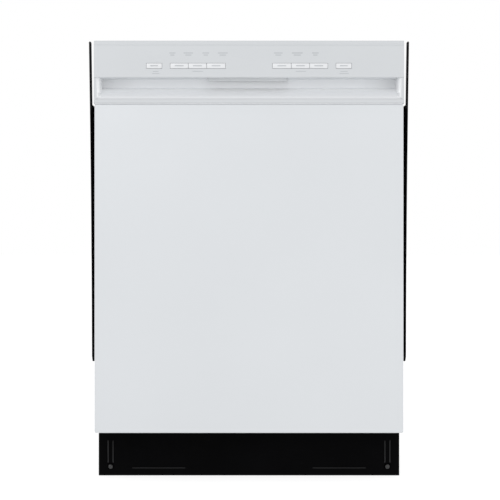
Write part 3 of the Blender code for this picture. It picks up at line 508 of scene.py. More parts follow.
def wires(name, paths, radius, material, body, *nodes, closed=(), resolution=3):
    """Adds round wires as a finished piece."""
    return piece(name, wire_curve(name, paths, radius, closed, resolution), material, body, *nodes)


def spread(low, high, count):
    """Evenly spaced values from low to high, both included."""
    return [low + (high - low) * n / (count - 1) for n in range(count)]


def clamped(value):
    return min(1.0, max(0.0, value))


def reach_of(low, high):
    """The outer and the inner distance of a box from the middle plane."""
    return max(abs(low.x), abs(high.x)), min(abs(low.x), abs(high.x))


# ---------------------------------------------------------------- the door's front
def door_skin():
    """The painted sheet: a shallow tray with rolled edges."""
    low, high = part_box("door_outer_panel")
    work = bmesh.new()
    add_box(work, low, high)
    back = [f for f in work.faces if all(v.co.y > high.y - 0.001 for v in f.verts)]
    bmesh.ops.delete(work, geom=back, context="FACES")
    front = [e for e in work.edges if all(v.co.y < low.y + 0.001 for v in e.verts)]
    uprights = [e for e in work.edges if abs(e.verts[0].co.y - e.verts[1].co.y) > 0.01]
    soften(work, front + uprights, 0.0032, 5, clamp=True)
    thickened(solid("door_skin", work, PAINT, "door", "door_outer_panel"), 0.0009)


LIP = 0.7463  # the height of the lip under the pocket's opening
POCKET_OPENING, POCKET_CHEEK = 0.2985, 0.0095  # half the opening's width, and how wide its cheeks are


def pocket_depth(x, z):
    """How far back the pocket's front surface lies at a point of the door's face."""
    if z <= LIP - 0.0016:
        return 0.0
    floor_height, floor_depth, groove_depth, cheek_height = 0.0235, 0.0355, 0.0016, 0.0215
    floor = floor_depth * clamped((z - LIP) / floor_height) ** 1.6
    if z > LIP - 0.0008:
        floor = max(floor, groove_depth)
    # the cheeks slope in from the sides; their edges curve outwards as they come down to the lip
    drop = clamped((LIP + cheek_height - z) / cheek_height)
    flare = 1 - math.sqrt(1 - drop ** 2)
    opening = POCKET_OPENING + 0.001 * flare
    inner = POCKET_OPENING - POCKET_CHEEK + 0.0095 * flare
    if abs(x) >= opening:
        return 0.0
    if abs(x) <= inner:
        return floor
    return floor * ((opening - abs(x)) / (opening - inner)) ** 3.6


def add_pressed_sheet(work, columns, rows, front, back):
    """A sheet whose y at (x, z) is front(x, z), with a rim that runs back to one plane."""
    grid = [[work.verts.new((x, front(x, z), z)) for x in columns] for z in rows]
    add_skin(work, grid, closed=False)
    rim = [e for e in work.edges if e.is_boundary]
    for v in new_verts(bmesh.ops.extrude_edge_only(work, edges=rim)):
        v.co.y = back


def pocket():
    """The handle's moulding: a lip, a concave floor that runs up into the back wall, and curved cheeks."""
    low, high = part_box("pocket_handle")
    half, rolled = high.x, 0.0008
    rows = [low.z, low.z + 0.0006] + spread(low.z + 0.004, LIP - 0.0022, 3)
    rows += spread(LIP - 0.0016, LIP + 0.002, 9) + spread(LIP + 0.0035, LIP + 0.02, 12)
    rows += spread(LIP + 0.0207, LIP + 0.024, 9) + spread(LIP + 0.027, high.z + 0.0009, 6)
    ends = [half, half - 0.001] + spread(0.3012, 0.288, 34) + [0.28, 0.26, 0.2, 0.1]
    columns = [-x for x in ends] + [0.0] + list(reversed(ends))

    def front(x, z):
        foot = rolled if z < low.z + 0.0003 else 0.0
        side = rolled if abs(x) > half - 0.0005 else 0.0
        return low.y + foot + pocket_depth(x, z) + side

    work = bmesh.new()
    add_pressed_sheet(work, columns, rows, front, high.y - 0.001)
    tongue = 0.3
    add_box(work, (-tongue, low.y + 0.003, low.z - 0.0016), (tongue, high.y - 0.02, low.z + 0.001))
    made = solid("pocket_scoop", work, POCKET_PAINTED_SHADE, "door", "pocket_handle")
    for material in (CONSOLE, CHEEK_PAINTED_LIGHT, INNER_CHEEK_PAINTED_LIGHT):
        made.data.materials.append(material)
    for face in made.data.polygons:
        face.material_index = pocket_finish(face.center, low, half)
    thickened(made, 0.0018)
    made.data.set_sharp_from_angle(angle=math.radians(60))


def pocket_finish(at, low, half):
    """Which of the pocket's materials a face has: the cheeks and the tongue in the seam get lighter copies of
    the moulding, painted light against their shade.
    """
    own, outer, cheek, inner_cheek = 0, 1, 2, 3
    if abs(at.x) > half - 0.0012 or at.y < low.y + (0.0006 if at.z < LIP else 0.0001):
        return outer
    on_cheek = 0.2888 < abs(at.x) < POCKET_OPENING and at.z > LIP + 0.004
    on_tongue = at.y > low.y + 0.0015 and at.z < low.z + 0.0004
    # painted light: cheeks and tongue take the lighter copies, the inner cheeks the lightest
    if on_cheek or on_tongue:
        return inner_cheek if abs(at.x) < 0.2945 and at.z > LIP + 0.012 else cheek
    return own


def button_names():
    return sorted(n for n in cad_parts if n.startswith("button_"))


def console_profile(low, high):
    """The console's section: a rounded foot, a groove under the bevel band, and the band's round top."""
    band, top_radius, groove = 0.0078, 0.0036, 0.0006
    foot = high.z - band
    profile = [(low.y, low.z + 0.0012), (low.y + 0.0004, low.z + 0.0004), (low.y + 0.0012, low.z),
               (high.y, low.z), (high.y, high.z), (low.y + 0.006, high.z)]
    for degrees in (25, 50, 75):
        a = math.radians(degrees)
        profile.append((low.y + 0.006 - top_radius * math.sin(a), high.z - top_radius * (1 - math.cos(a))))
    return profile + [(low.y + 0.0007, foot + 0.0006), (low.y, foot), (low.y, foot - 0.0012),
                      (low.y + groove, foot - 0.0018), (low.y + groove, foot - 0.0022),
                      (low.y, foot - 0.0034)]


def button_windows(face):
    """A cutter for each run of neighbouring buttons."""
    windows = bmesh.new()
    gap = 0.0004
    for _, word in SIDES:
        group = [n for n in button_names() if n.startswith(f"button_{word}_")]
        for names in (group, ["button_far_" + word]):
            boxes = [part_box(n) for n in names]
            start = (min(b[0].x for b in boxes) - gap, face - 0.01, boxes[0][0].z - 0.0005)
            end = (max(b[1].x for b in boxes) + gap, face + 0.01, boxes[0][1].z + gap)
            add_box(windows, start, end, 0.0008, 2)
    return windows


def console():
    """The console's moulding, hollow behind, with windows for the buttons and a slot for the latch."""
    low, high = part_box("control_console")
    half = high.x
    work = bmesh.new()
    add_outline(work, console_profile(low, high), -half, 2 * half, "X")
    ends = [e for e in work.edges if all(abs(abs(v.co.x) - half) < 1e-5 for v in e.verts)
            and abs(e.verts[0].co.x - e.verts[1].co.x) < 1e-5
            and (max(v.co.y for v in e.verts) < high.y - 0.001
                 or min(v.co.z for v in e.verts) > high.z - 1e-5)]
    soften(work, ends, 0.0016, 3, clamp=True)
    hollow = bmesh.new()
    add_box(hollow, (-half + 0.0025, low.y + 0.003, low.z + 0.0025),
            (half - 0.0025, high.y + 0.02, high.z - 0.0028))
    slot = bmesh.new()
    add_box(slot, (-0.0812, -0.2895, low.z - 0.01), (0.0752, -0.27, low.z + 0.01))
    made = solid("console_shell", work, CONSOLE, "door", "control_console",
                 cuts=(hollow, button_windows(low.y), slot))
    made.data.materials.append(LATCH_AND_UNDERSIDE_LIGHT)
    # Painted light: the underside of the console's foot takes the lighter latch moulding, to lift the shade
    # under the console.
    for face in made.data.polygons:
        if face.normal.z < -0.9 and face.center.z < low.z + 0.0005:
            face.material_index = 1
    made.data.set_sharp_from_angle(angle=math.radians(25))


def buttons():
    """Each cap is slightly crowned, with a generic printed bar on its face."""
    for name in button_names():
        low, high, middle = middle_of(name)
        work = bmesh.new()
        add_box(work, low, high, 0.0009, 3)
        for v in work.verts:
            if v.co.y < low.y + 0.0004:
                across = (v.co.x - middle.x) / (high.x - low.x) * 2
                up = (v.co.z - middle.z) / (high.z - low.z) * 2
                v.co.y += 0.00035 * max(across ** 2, up ** 2)
        solid(name + "_cap", work, BUTTON, name, name)
        bar = bmesh.new()
        reach = 0.0075 if "far" in name else 0.0085
        add_box(bar, (middle.x - reach, low.y - 0.00006, middle.z - 0.0007),
                (middle.x + reach, low.y + 0.0005, middle.z + 0.0007))
        solid(name + "_mark", bar, PRINT, name, slot="button_plastic")


def button_ribs():
    """Guide ribs that stand between neighbouring caps in each window."""
    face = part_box("control_console")[0].y
    boxes = [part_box(n) for n in button_names()]
    low_z, high_z = boxes[0][0].z - 0.0005, boxes[0][1].z + 0.0005
    half_rib, widest_gap = 0.00025, 0.002
    work = bmesh.new()
    for _, high in boxes:
        for next_low, _ in boxes:
            gap = next_low.x - high.x
            if 0 < gap < widest_gap:
                middle = high.x + gap / 2
                add_box(work, (middle - half_rib, face + 0.0003, low_z),
                        (middle + half_rib, face + 0.008, high_z))
    solid("button_ribs", work, CONSOLE, "door")


def print_marks():
    """Plain grey dashes where a maker prints the names of the cycles; they spell nothing."""
    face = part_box("control_console")[0].y
    work = bmesh.new()

    def dashes(x, width, heights, second_line, half_height):
        for z, share in zip(heights, (1.0, second_line)):
            reach = width / 2 * share
            add_box(work, (x - reach, face - 0.00005, z - half_height),
                    (x + reach, face + 0.0002, z + half_height))

    for x, width in ((-0.149, 0.012), (-0.118, 0.018), (-0.084, 0.013), (-0.051, 0.019),
                     (0.057, 0.017), (0.094, 0.021), (0.129, 0.013)):
        dashes(x, width, (0.8352, 0.8312), 0.66, 0.00075)
    for x, width in ((-0.0995, 0.021), (0.101, 0.02)):
        dashes(x, width, (0.7996,), 1.3, 0.0005)
    for x, width in ((-0.1815, 0.011), (0.185, 0.014)):
        dashes(x, width, (0.7992, 0.7952), 1.3, 0.0005)
    solid("console_print", work, PRINT, "door")


KICK_SCREW_X, KICK_SCREW_Z = 0.277, 0.0185  # where the toe kick's screws are, each side


def hump(distance, width, power=2):
    """1 in the middle, 0 well outside the width; the higher the power, the flatter its top."""
    return math.exp(-(distance / width) ** power)


def step(distance, width):
    """0 before, 1 after, over about the width."""
    return 1 / (1 + math.exp(-distance / width))


def kick_height(x, z):
    """How far the toe kick's pressed shape stands out at a point of its face."""
    side = abs(x)
    channel = 0.0022 * (hump(side - 0.272, 0.0011, 4) + hump(side - 0.282, 0.0011, 4))
    channel *= step(z - 0.0262, 0.0007) * step(0.0705 - z, 0.0007)
    dimple = 0.0016 * hump(math.hypot(side - KICK_SCREW_X, z - KICK_SCREW_Z), 0.0068, 4)
    crease = 0.0013 * hump(z - 0.016, 0.001) * step(0.254 - side, 0.006) * step(side - 0.122, 0.004)
    return channel - dimple + crease


def toe_kick():
    """A folded plate with a pressed channel at each end, a screw dimple under it, and a low crease; the
    raised channels and crease carry a painted highlight.
    """
    low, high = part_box("toe_kick_panel")
    face, rolled = low.y + 0.003, 0.001
    columns = [low.x, low.x + 0.001, low.x + 0.004] + spread(-0.289, -0.265, 33) + spread(-0.255, 0.255, 25)
    columns += spread(0.265, 0.289, 33) + [high.x - 0.004, high.x - 0.001, high.x]
    rows = [low.z, low.z + 0.0008, low.z + 0.003] + spread(0.0085, 0.029, 25) + spread(0.034, 0.064, 8)
    rows += spread(0.0665, 0.074, 8) + [0.0785, high.z - 0.003, high.z - 0.0008, high.z]

    def front(x, z):
        foot = rolled if z in (rows[0], rows[-1]) else 0.0
        side = rolled if x in (columns[0], columns[-1]) else 0.0
        return face - kick_height(x, z) + foot + side

    work = bmesh.new()
    add_pressed_sheet(work, columns, rows, front, high.y)
    made = solid("toe_kick_plate", work, KICK, "cabinet", "toe_kick_panel")
    made.data.materials.append(KICK_PAINTED_HIGHLIGHT)
    # painted highlight: faces that stand out from the plate get the lighter black
    raised = 0.0009
    for polygon in made.data.polygons:
        if polygon.center.y < face - raised:
            polygon.material_index = 1
    thickened(made, 0.001)
    for side, word in SIDES:
        kick_screw(side * KICK_SCREW_X, low.y - 0.0002, KICK_SCREW_Z, word)


def kick_screw(x, y, z, word):
    """A domed head with a cross recess."""
    head = bmesh.new()
    add_turned(head, [(0, 0.0036), (0.0012, 0.0036), (0.0046, 0.0032), (0.0048, 0.0024), (0.0042, 0.001),
                      (0.0026, 0.0001), (0, 0.0)], along((x, y, z), REAR), 24)
    long, narrow = 0.0022, 0.0005
    across, upright = bmesh.new(), bmesh.new()
    add_box(across, (x - long, y - 0.001, z - narrow), (x + long, y + 0.0016, z + narrow))
    add_box(upright, (x - narrow, y - 0.001, z - long), (x + narrow, y + 0.0016, z + long))
    solid("toe_kick_screw_head_" + word, head, BLACKENED, "cabinet", "toe_kick_screw_" + word,
          cuts=(across, upright))


def seal_section(z, foot, top, shoulder, outer):
    """The seal's outline at one height: (distance from the middle, y) points round a thin curved lip."""
    root, front, steps = -0.2432, -0.2748, 8
    drop = (top - z) / (top - foot)
    lean = outer - 0.006 * drop - 0.0012 * math.sin(math.pi * drop)
    fade = min(1.0, 0.25 + (z - foot) / 0.014, 0.25 + ((top - z) / 0.006) ** 0.5)
    tip = root + (front - root) * (0.4 + 0.6 * fade)
    below = z <= shoulder
    start, bulge = (root, 0.0036) if below else (-0.264, 0.0)
    shares = [k / steps for k in range(steps + 1)]
    outside = [(lean - bulge * (1 - t) ** 2, start + (tip - start) * t) for t in shares]
    walls = [0.0028 * (1 - 0.5 * t) if below else 0.0042 for t in shares]
    inside = [(x - fade * wall, y) for (x, y), wall in zip(outside, walls)]
    return outside + inside[::-1]


def side_seals():
    """Each seal: a web clipped to the tub's frame and a curved lip that thins towards its free edge."""
    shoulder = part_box("door_outer_panel")[1].z
    for side, word in SIDES:
        low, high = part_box("side_seal_" + word)
        outer, inner = reach_of(low, high)
        foot, top = low.z, high.z + 0.0035
        rows = spread(foot, foot + 0.012, 6) + spread(foot + 0.05, shoulder - 0.03, 9)
        rows += [shoulder, shoulder + 0.0015, shoulder + 0.03]
        rows += spread(top - 0.04, top - 0.01, 4) + spread(top - 0.006, top, 8)
        work = bmesh.new()
        rings = [[work.verts.new((side * x, y, z)) for x, y in seal_section(z, foot, top, shoulder, outer)]
                 for z in rows]
        add_skin(work, rings)
        work.faces.new(rings[0])
        work.faces.new(list(reversed(rings[-1])))
        web = [(inner, foot), (0.3058, foot), (0.3085, foot + 0.008), (0.3103, shoulder), (inner, shoulder)]
        add_outline(work, [(side * x, z) for x, z in web], -0.2465, 0.0032, "Y", 0.0006)
        for z in spread(foot + 0.03, shoulder - 0.03, 7):
            add_rod(work, (side * 0.3, -0.2475, z), REAR, 0.0028, 0.005, segments=16)
        solid("seal_lip_" + word, work, SEAL, "cabinet", "side_seal_" + word)


door_skin()
pocket()
console()
buttons()
button_ribs()
print_marks()
toe_kick()
side_seals()


# ---------------------------------------------------------------- the cabinet
TUB_HALF, TUB_FLOOR, TUB_CEILING = 0.272, 0.125, 0.827
TUB_FRONT, TUB_REAR = -0.247, 0.302
CENTRE_Y = 0.03


def wash_chamber():
    """The drawn tub: walls that run into the back over a round edge, and holes for what goes through."""
    edge, corner, sheet = 0.016, 0.014, 0.0009
    stations = [(TUB_FRONT + 0.0015, 0.0), (TUB_REAR - edge, 0.0)]
    stations += [(TUB_REAR - edge + edge * math.sin(math.radians(a)), edge * (1 - math.cos(math.radians(a))))
                 for a in (15, 30, 45, 60, 75, 90)]
    work = bmesh.new()
    rings = []
    for y, inset in stations:
        outline = rounded_rectangle(-TUB_HALF + inset, TUB_HALF - inset, TUB_FLOOR + inset,
                                    TUB_CEILING - inset, max(corner - inset, 0.004))
        rings.append([work.verts.new((x, y, z)) for x, z in outline])
    add_skin(work, rings)
    work.faces.new(rings[-1])
    bmesh.ops.recalc_face_normals(work, faces=work.faces)
    bmesh.ops.solidify(work, geom=list(work.faces), thickness=-sheet)
    sump, float_stem = (0, CENTRE_Y, 0.08), (-0.215, -0.185, 0.0065)
    heater_ends = ((-0.03, -0.13, 0.0055), (0.03, -0.13, 0.0055))
    holes = bmesh.new()
    for x, y, radius in (sump, float_stem, *heater_ends):
        add_rod(holes, (x, y, TUB_FLOOR - 0.01), UP, radius, 0.03, segments=48)
    solid("wash_chamber", work, TUB, "cabinet", "tub", cuts=(holes,))


def tub_frame():
    """The flange round the tub's mouth, folded back along its sides and top."""
    half, low, high, back = 0.296, 0.11, 0.848, -0.243
    work = bmesh.new()
    add_outline(work, rounded_rectangle(-half, half, low, high, 0.004, 3), back - 0.003, 0.003, "Y", 0.0004)
    cut = bmesh.new()
    add_outline(cut, rounded_rectangle(-TUB_HALF, TUB_HALF, TUB_FLOOR, TUB_CEILING, 0.014), -0.28, 0.06, "Y")
    for side, _ in SIDES:
        add_box(cut, (side * 0.2785, -0.28, 0.09), (side * 0.33, -0.22, 0.19))
    add_box(cut, (-0.036, -0.28, 0.8302), (0.036, -0.22, 0.87))
    solid("tub_frame", work, TUB, "cabinet", cuts=(cut,))
    folds = bmesh.new()
    for side, _ in SIDES:
        add_box(folds, (side * (half - 0.001), back - 0.0006, 0.192), (side * half, back + 0.016, high),
                0.0004)
    for x0, x1 in ((-half, -0.038), (0.038, half)):
        add_box(folds, (x0, back - 0.0006, high - 0.001), (x1, back + 0.016, high), 0.0004)
    solid("tub_frame_folds", folds, TUB, "cabinet")
    screws = bmesh.new()
    for side, _ in SIDES:
        for z in (0.26, 0.46, 0.66, 0.8):
            add_turned(screws, [(0, 0.0022), (0.0022, 0.002), (0.0042, 0.0008), (0.0044, 0.0), (0, 0.0)],
                       along((side * 0.2845, back - 0.0028, z), FRONT), 20)
    solid("tub_frame_screws", screws, ZINC, "cabinet")


def rear_ribs():
    """Three pressed channels that stiffen the back, with tapered ends."""
    work = bmesh.new()
    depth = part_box("tub")[1].y - TUB_REAR - 0.0011
    for x in (-0.18, 0.0, 0.18):
        profile = [(0.14, 0), (0.152, depth), (0.788, depth), (0.8, 0)]
        add_outline(work, [(TUB_REAR + 0.001 + y, z) for z, y in profile], x - 0.012, 0.024, "X", 0.0022, 3)
    solid("rear_ribs", work, TUB, "cabinet")


def wavy(outline, rng):
    """An outline as a hand would cut it, with each point a little off."""
    amount = 0.0009
    return [(u + rng.uniform(-amount, amount), v + rng.uniform(-amount, amount)) for u, v in outline]


def damping_sheets():
    """Mastic sheets pressed onto the sides, the top and the back, each cut a little unevenly."""
    rng = random.Random(7)
    work = bmesh.new()
    skin, thick = 0.0012, 0.0024
    for side, _ in SIDES:
        start = side * (TUB_HALF + skin)
        for y0, y1, z0, z1 in ((-0.205, 0.03, 0.175, 0.47), (0.04, 0.275, 0.175, 0.47),
                               (-0.205, 0.275, 0.482, 0.795)):
            add_outline(work, wavy(rounded_rectangle(y0, y1, z0, z1, 0.01, 4), rng), start, side * thick,
                        "X", 0.0007)
    for x0, x1 in ((-0.24, -0.006), (0.006, 0.24)):
        add_outline(work, wavy(rounded_rectangle(x0, x1, -0.175, 0.27, 0.01, 4), rng), TUB_CEILING + skin,
                    thick, "Z", 0.0007)
    for x0, x1 in ((-0.262, -0.198), (-0.162, -0.018), (0.018, 0.162), (0.198, 0.262)):
        add_outline(work, wavy(rounded_rectangle(x0, x1, 0.165, 0.785, 0.01, 4), rng), TUB_REAR + skin,
                    thick, "Y", 0.0007)
    solid("damping_sheets", work, MASTIC, "cabinet")


def rack_tracks():
    """Two shelves along the tub's floor that the lower rack's wheels run on, each with a low kerb."""
    work = bmesh.new()
    for side, _ in SIDES:
        profile = [(0.252, 0.1256), (0.252, 0.1385), (0.2538, 0.1388), (0.2545, 0.138), (0.265, 0.1378),
                   (0.268, 0.1384), (0.2712, 0.1386), (0.2712, 0.1256)]
        points = [(side * x, z) for x, z in profile]
        add_outline(work, points, -0.2425, 0.531, "Y", 0.0008)
    solid("rack_tracks", work, TUB, "cabinet")


def worktop_brackets():
    """Bent tabs for the screws into the worktop, each with a round hole and a slot."""
    thick, bend = 0.0018, 0.003
    for _, word in SIDES:
        low, high, middle = middle_of("mounting_bracket_" + word)
        top = high.z
        profile = [(low.y, low.z), (low.y, top - bend)] + arc((low.y + bend, top - bend), bend, 180, 90, 4)
        profile += [(high.y, top), (high.y, top - thick), (low.y + bend, top - thick),
                    (low.y + thick, top - bend), (low.y + thick, low.z)]
        work = bmesh.new()
        add_outline(work, profile, low.x, high.x - low.x, "X", 0.0004)
        cut = bmesh.new()
        add_rod(cut, (middle.x, -0.213, top - 0.01), UP, 0.003, 0.02, segments=24)
        add_box(cut, (middle.x - 0.0022, low.y - 0.01, low.z + 0.006),
                (middle.x + 0.0022, low.y + 0.02, low.z + 0.016), 0.001)
        solid("worktop_bracket_" + word, work, SHEET, "cabinet", "mounting_bracket_" + word, cuts=(cut,))


def latch_strike():
    """A riveted plate with a tongue that the latch hooks behind, through a window."""
    low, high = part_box("latch_strike")
    work = bmesh.new()
    add_box(work, (-0.034, -0.24, low.z), (0.034, -0.238, high.z), 0.0006)
    tongue = [(-0.015, -0.239), (-0.015, -0.27), (-0.01, low.y), (0.01, low.y), (0.015, -0.27),
              (0.015, -0.239)]
    add_outline(work, tongue, 0.8335, 0.003, "Z", 0.0006)
    window = bmesh.new()
    add_box(window, (-0.009, -0.27, 0.82), (0.009, -0.26, 0.85), 0.001)
    solid("strike_plate", work, SHEET, "cabinet", "latch_strike", cuts=(window,))
    rivets = bmesh.new()
    for x in (-0.026, 0.026):
        add_turned(rivets, [(0, 0.0012), (0.002, 0.001), (0.003, 0.0), (0, 0.0)],
                   along((x, -0.2399, 0.8385), FRONT), 20)
    solid("strike_rivets", rivets, ZINC, "cabinet")


def base_details():
    """Ribs and ledges on the moulded base's sides and back, rims round its two front openings, floor ribs."""
    half, half_rib, root = 0.275, 0.0014, 0.001
    work = bmesh.new()
    for side, _ in SIDES:
        start, rib, ledge = side * (half - root), side * (half + 0.0022), side * (half + 0.003)
        for y in spread(-0.095, 0.255, 8):
            add_box(work, (start, y - half_rib, 0.03), (rib, y + half_rib, 0.11), 0.0006)
        add_box(work, (start, -0.11, 0.108), (ledge, 0.292, 0.1115), 0.0008)
        add_box(work, (start, -0.19, 0.0215), (rib, 0.292, 0.025), 0.0006)
    for x in spread(-0.24, 0.24, 9):
        add_box(work, (x - half_rib, 0.299, 0.03), (x + half_rib, 0.3022, 0.11), 0.0006)
    for z in (0.0215, 0.108):
        add_box(work, (-half + 0.002, 0.299, z), (half - 0.002, 0.3026, z + 0.0035), 0.0008)
    openings = bmesh.new()
    for x in (-0.12, 0.12):
        rim = rounded_rectangle(x - 0.076, x + 0.076, 0.04, 0.1, 0.006, 4)
        add_outline(work, rim, -0.2008, 0.0022, "Y", 0.0005)
        opening = rounded_rectangle(x - 0.07, x + 0.07, 0.045, 0.095, 0.004, 4)
        add_outline(openings, opening, -0.22, 0.04, "Y")
    solid("base_ribs", work, BASE, "cabinet", cuts=(openings,))
    under = bmesh.new()
    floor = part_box("base_frame")[0].z
    foot, top, half_rib = floor - 0.0028, floor + 0.001, 0.0016
    for x in spread(-0.2, 0.2, 6):
        add_box(under, (x - half_rib, -0.15, foot), (x + half_rib, 0.25, top), 0.0006)
    for y in spread(-0.13, 0.23, 5):
        add_box(under, (-0.22, y - half_rib, foot), (0.22, y + half_rib, top), 0.0006)
    solid("base_floor_ribs", under, BASE, "cabinet")


def levelling_legs():
    """Each foot: a ribbed pad, a hexagon for the spanner and a threaded stem."""
    for name in (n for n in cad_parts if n.startswith("leveling_leg")):
        _, high, middle = middle_of(name)
        place = Matrix.Translation((middle.x, middle.y, 0))
        work = bmesh.new()
        add_turned(work, [(0, 0.0), (0.0145, 0.0), (0.0158, 0.0008), (0.016, 0.0022), (0.0152, 0.0034),
                          (0.011, 0.0052), (0.0092, 0.0062), (0, 0.0062)], place, 40)
        add_turned(work, [(0, 0.0058), (0.0082, 0.0058), (0.0094, 0.0066), (0.0094, 0.0122), (0.0082, 0.013),
                          (0, 0.013)], place, 6)
        pitch, crest, root = 0.0018, 0.005, 0.0042
        thread = [(0, 0.0126)]
        turns = int((high.z - 0.0145) / pitch)
        for n in range(turns):
            z = 0.013 + n * pitch
            thread += [(root, z), (root, z + pitch * 0.15), (crest, z + pitch * 0.45),
                       (crest, z + pitch * 0.6), (root, z + pitch * 0.9)]
        thread += [(root * 0.8, high.z), (0, high.z)]
        add_turned(work, thread, place, 24)
        solid(name + "_foot", work, PUMP, name, name)


wash_chamber()
tub_frame()
rear_ribs()
damping_sheets()
rack_tracks()
worktop_brackets()
latch_strike()
base_details()
levelling_legs()


# ---------------------------------------------------------------- racks
def hoop(half, front, rear, z, radius=0.022):
    """A loop of wire round a rack at one height."""
    return [(x, y, z) for x, y in rounded_rectangle(-half, half, front, rear, radius, 5)]


CRADLE_BEND = 0.012


def cradle_across(half, y, floor, rim):
    """A wire from rim to rim, down one side, across the floor and up the other side."""
    return rounded([(-half, y, rim), (-half, y, floor), (half, y, floor), (half, y, rim)], CRADLE_BEND)


def cradle_along(x, front, rear, floor, rim, rim_front):
    """The same from front to rear; the front rim may be lower."""
    return rounded([(x, front, rim_front), (x, front, floor), (x, rear, floor), (x, rear, rim)], CRADLE_BEND)


def tines(columns, rows, floor, height, lean):
    """Upright pins in rows; each leans a little to the rear."""
    return [[(x, y, floor), (x, y + lean * 0.5, floor + height * 0.5), (x, y + lean, floor + height)]
            for x in columns for y in rows]


def bead_tips(points, radius):
    """The drop of coating that forms on the end of a dipped wire."""
    work = bmesh.new()
    for point in points:
        bmesh.ops.create_uvsphere(work, u_segments=10, v_segments=6, radius=radius,
                                  matrix=Matrix.Translation(point))
    return work


def upper_rack():
    """Coated wires with three groups of tines, a firmer rim and base, carriers and a grip."""
    low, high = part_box("upper_rack")
    half, front, rear = 0.2475, low.y + 0.004, high.y - 0.004
    floor, rim = low.z + 0.003, high.z - 0.004
    thin, thick = 0.0016, 0.0024
    paths = [hoop(half, front, rear, (floor + rim) / 2)]
    paths += [cradle_across(half - thin, y, floor, rim) for y in spread(front + 0.03, rear - 0.03, 9)]
    paths += [cradle_along(x, front + thin, rear - thin, floor + 2 * thin, rim, rim)
              for x in spread(-0.215, 0.215, 13)]
    rows, lean = spread(front + 0.05, rear - 0.05, 8), 0.004
    pins = tines((-0.197, -0.1612, 0.1612, 0.197), rows, floor, 0.06, lean)
    pins += tines((-0.0538, 0.0538), rows, floor, 0.045, lean)
    wires("upper_rack_wires", paths + pins, thin, RACK, "upper_rack", "upper_rack", closed=(0,))
    base = hoop(half - 0.001, front + 0.001, rear - 0.001, floor + 0.0015, 0.014)
    wires("upper_rack_rim", [hoop(half, front, rear, rim), base], thick, RACK, "upper_rack", closed=(0, 1))
    solid("upper_rack_tips", bead_tips([p[-1] for p in pins], 0.0021), RACK, "upper_rack")
    upper_rack_carriers()
    rack_handle("upper_rack_handle", front, rim, "upper_rack")


def upper_rack_carriers():
    """At each corner a moulded plate clipped to the rim, with two rollers that run in the rail."""
    work, rollers = bmesh.new(), bmesh.new()
    for side, _ in SIDES:
        for y in (-0.0815, 0.1395):
            outline = rounded_rectangle(y - 0.026, y + 0.026, 0.592, 0.636, 0.006, 4)
            add_outline(work, outline, side * 0.2495, side * 0.0035, "X", 0.0008)
            for shift in (-0.012, 0.012):
                add_rod(work, (side * 0.252, y + shift, 0.601), (side, 0, 0), 0.0022, 0.0062, segments=16)
                profile = [(0, 0), (0.0052, 0.0), (0.0058, 0.0006), (0.0058, 0.003), (0.0052, 0.0036),
                           (0, 0.0036)]
                add_turned(rollers, profile, along((side * 0.2534, y + shift, 0.601), (side, 0, 0)), 24)
            for z in (0.612, 0.628):
                add_box(work, (side * 0.2462, y - 0.02, z - 0.0028), (side * 0.2508, y + 0.02, z + 0.0028),
                        0.001)
    solid("upper_rack_carriers", work, GREY, "upper_rack")
    solid("upper_rack_rollers", rollers, RACK, "upper_rack")


def rack_handle(name, front, rim, body):
    """A moulded grip clipped over the middle of the front rim."""
    work = bmesh.new()
    section = [(front - 0.0042, rim - 0.016), (front - 0.0052, rim - 0.004), (front - 0.0036, rim + 0.0036),
               (front, rim + 0.0048), (front + 0.0036, rim + 0.0036), (front + 0.004, rim - 0.006),
               (front + 0.0026, rim - 0.006), (front + 0.0024, rim + 0.002), (front - 0.0022, rim + 0.002),
               (front - 0.0026, rim - 0.016)]
    add_outline(work, section, -0.075, 0.15, "X", 0.0008)
    for x in spread(-0.06, 0.06, 9):
        add_box(work, (x - 0.001, front - 0.0058, rim - 0.013), (x + 0.001, front - 0.004, rim - 0.003),
                0.0004)
    solid(name, work, GREY, body)


def lower_rack():
    """Coated wires with rows of plate tines, and a rim that dips in the middle of the front."""
    low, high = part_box("lower_rack")
    half, front, rear = 0.2425, low.y + 0.004, high.y - 0.004
    floor, rim = 0.2002, high.z - 0.004
    dip = rim - 0.05
    thin, thick = 0.0018, 0.0026
    paths = [cradle_across(half - thin, y, floor, rim) for y in spread(front + 0.032, rear - 0.032, 11)]
    for x in spread(-0.21, 0.21, 13):
        top = dip if abs(x) < 0.16 else rim
        paths.append(cradle_along(x, front + thin, rear - thin, floor + 2 * thin, rim, top))
    plates, lean = spread(front + 0.05, rear - 0.034, 12), 0.006
    behind_basket = [y for y in plates if y > 0.075]
    pins = tines((-0.1925, -0.1225, -0.0525, 0.0175), plates, floor, 0.082, lean)
    pins += tines((0.0875,), plates, floor, 0.06, lean)
    pins += tines((0.1575, 0.2125), behind_basket, floor, 0.06, lean)
    wires("lower_rack_wires", paths + pins, thin, RACK, "lower_rack", "lower_rack")
    edge = half - 0.001
    front_rim = rounded([(-edge, front + 0.1, rim), (-edge, front, rim), (-0.185, front, rim),
                         (-0.15, front, dip), (0.15, front, dip), (0.185, front, rim), (edge, front, rim),
                         (edge, front + 0.1, rim)], 0.02)
    back_rim = rounded([(-edge, front + 0.1, rim), (-edge, rear, rim), (edge, rear, rim),
                        (edge, front + 0.1, rim)], 0.022)
    middle = hoop(half, front, rear, floor + 0.062)
    base = hoop(half - 0.001, front + 0.001, rear - 0.001, floor + 0.0015, 0.014)
    wires("lower_rack_rim", [front_rim, back_rim, middle, base], thick, RACK, "lower_rack", closed=(2, 3))
    solid("lower_rack_tips", bead_tips([p[-1] for p in pins], 0.0023), RACK, "lower_rack")
    lower_rack_carriers()
    rack_handle("lower_rack_handle", front, dip, "lower_rack")


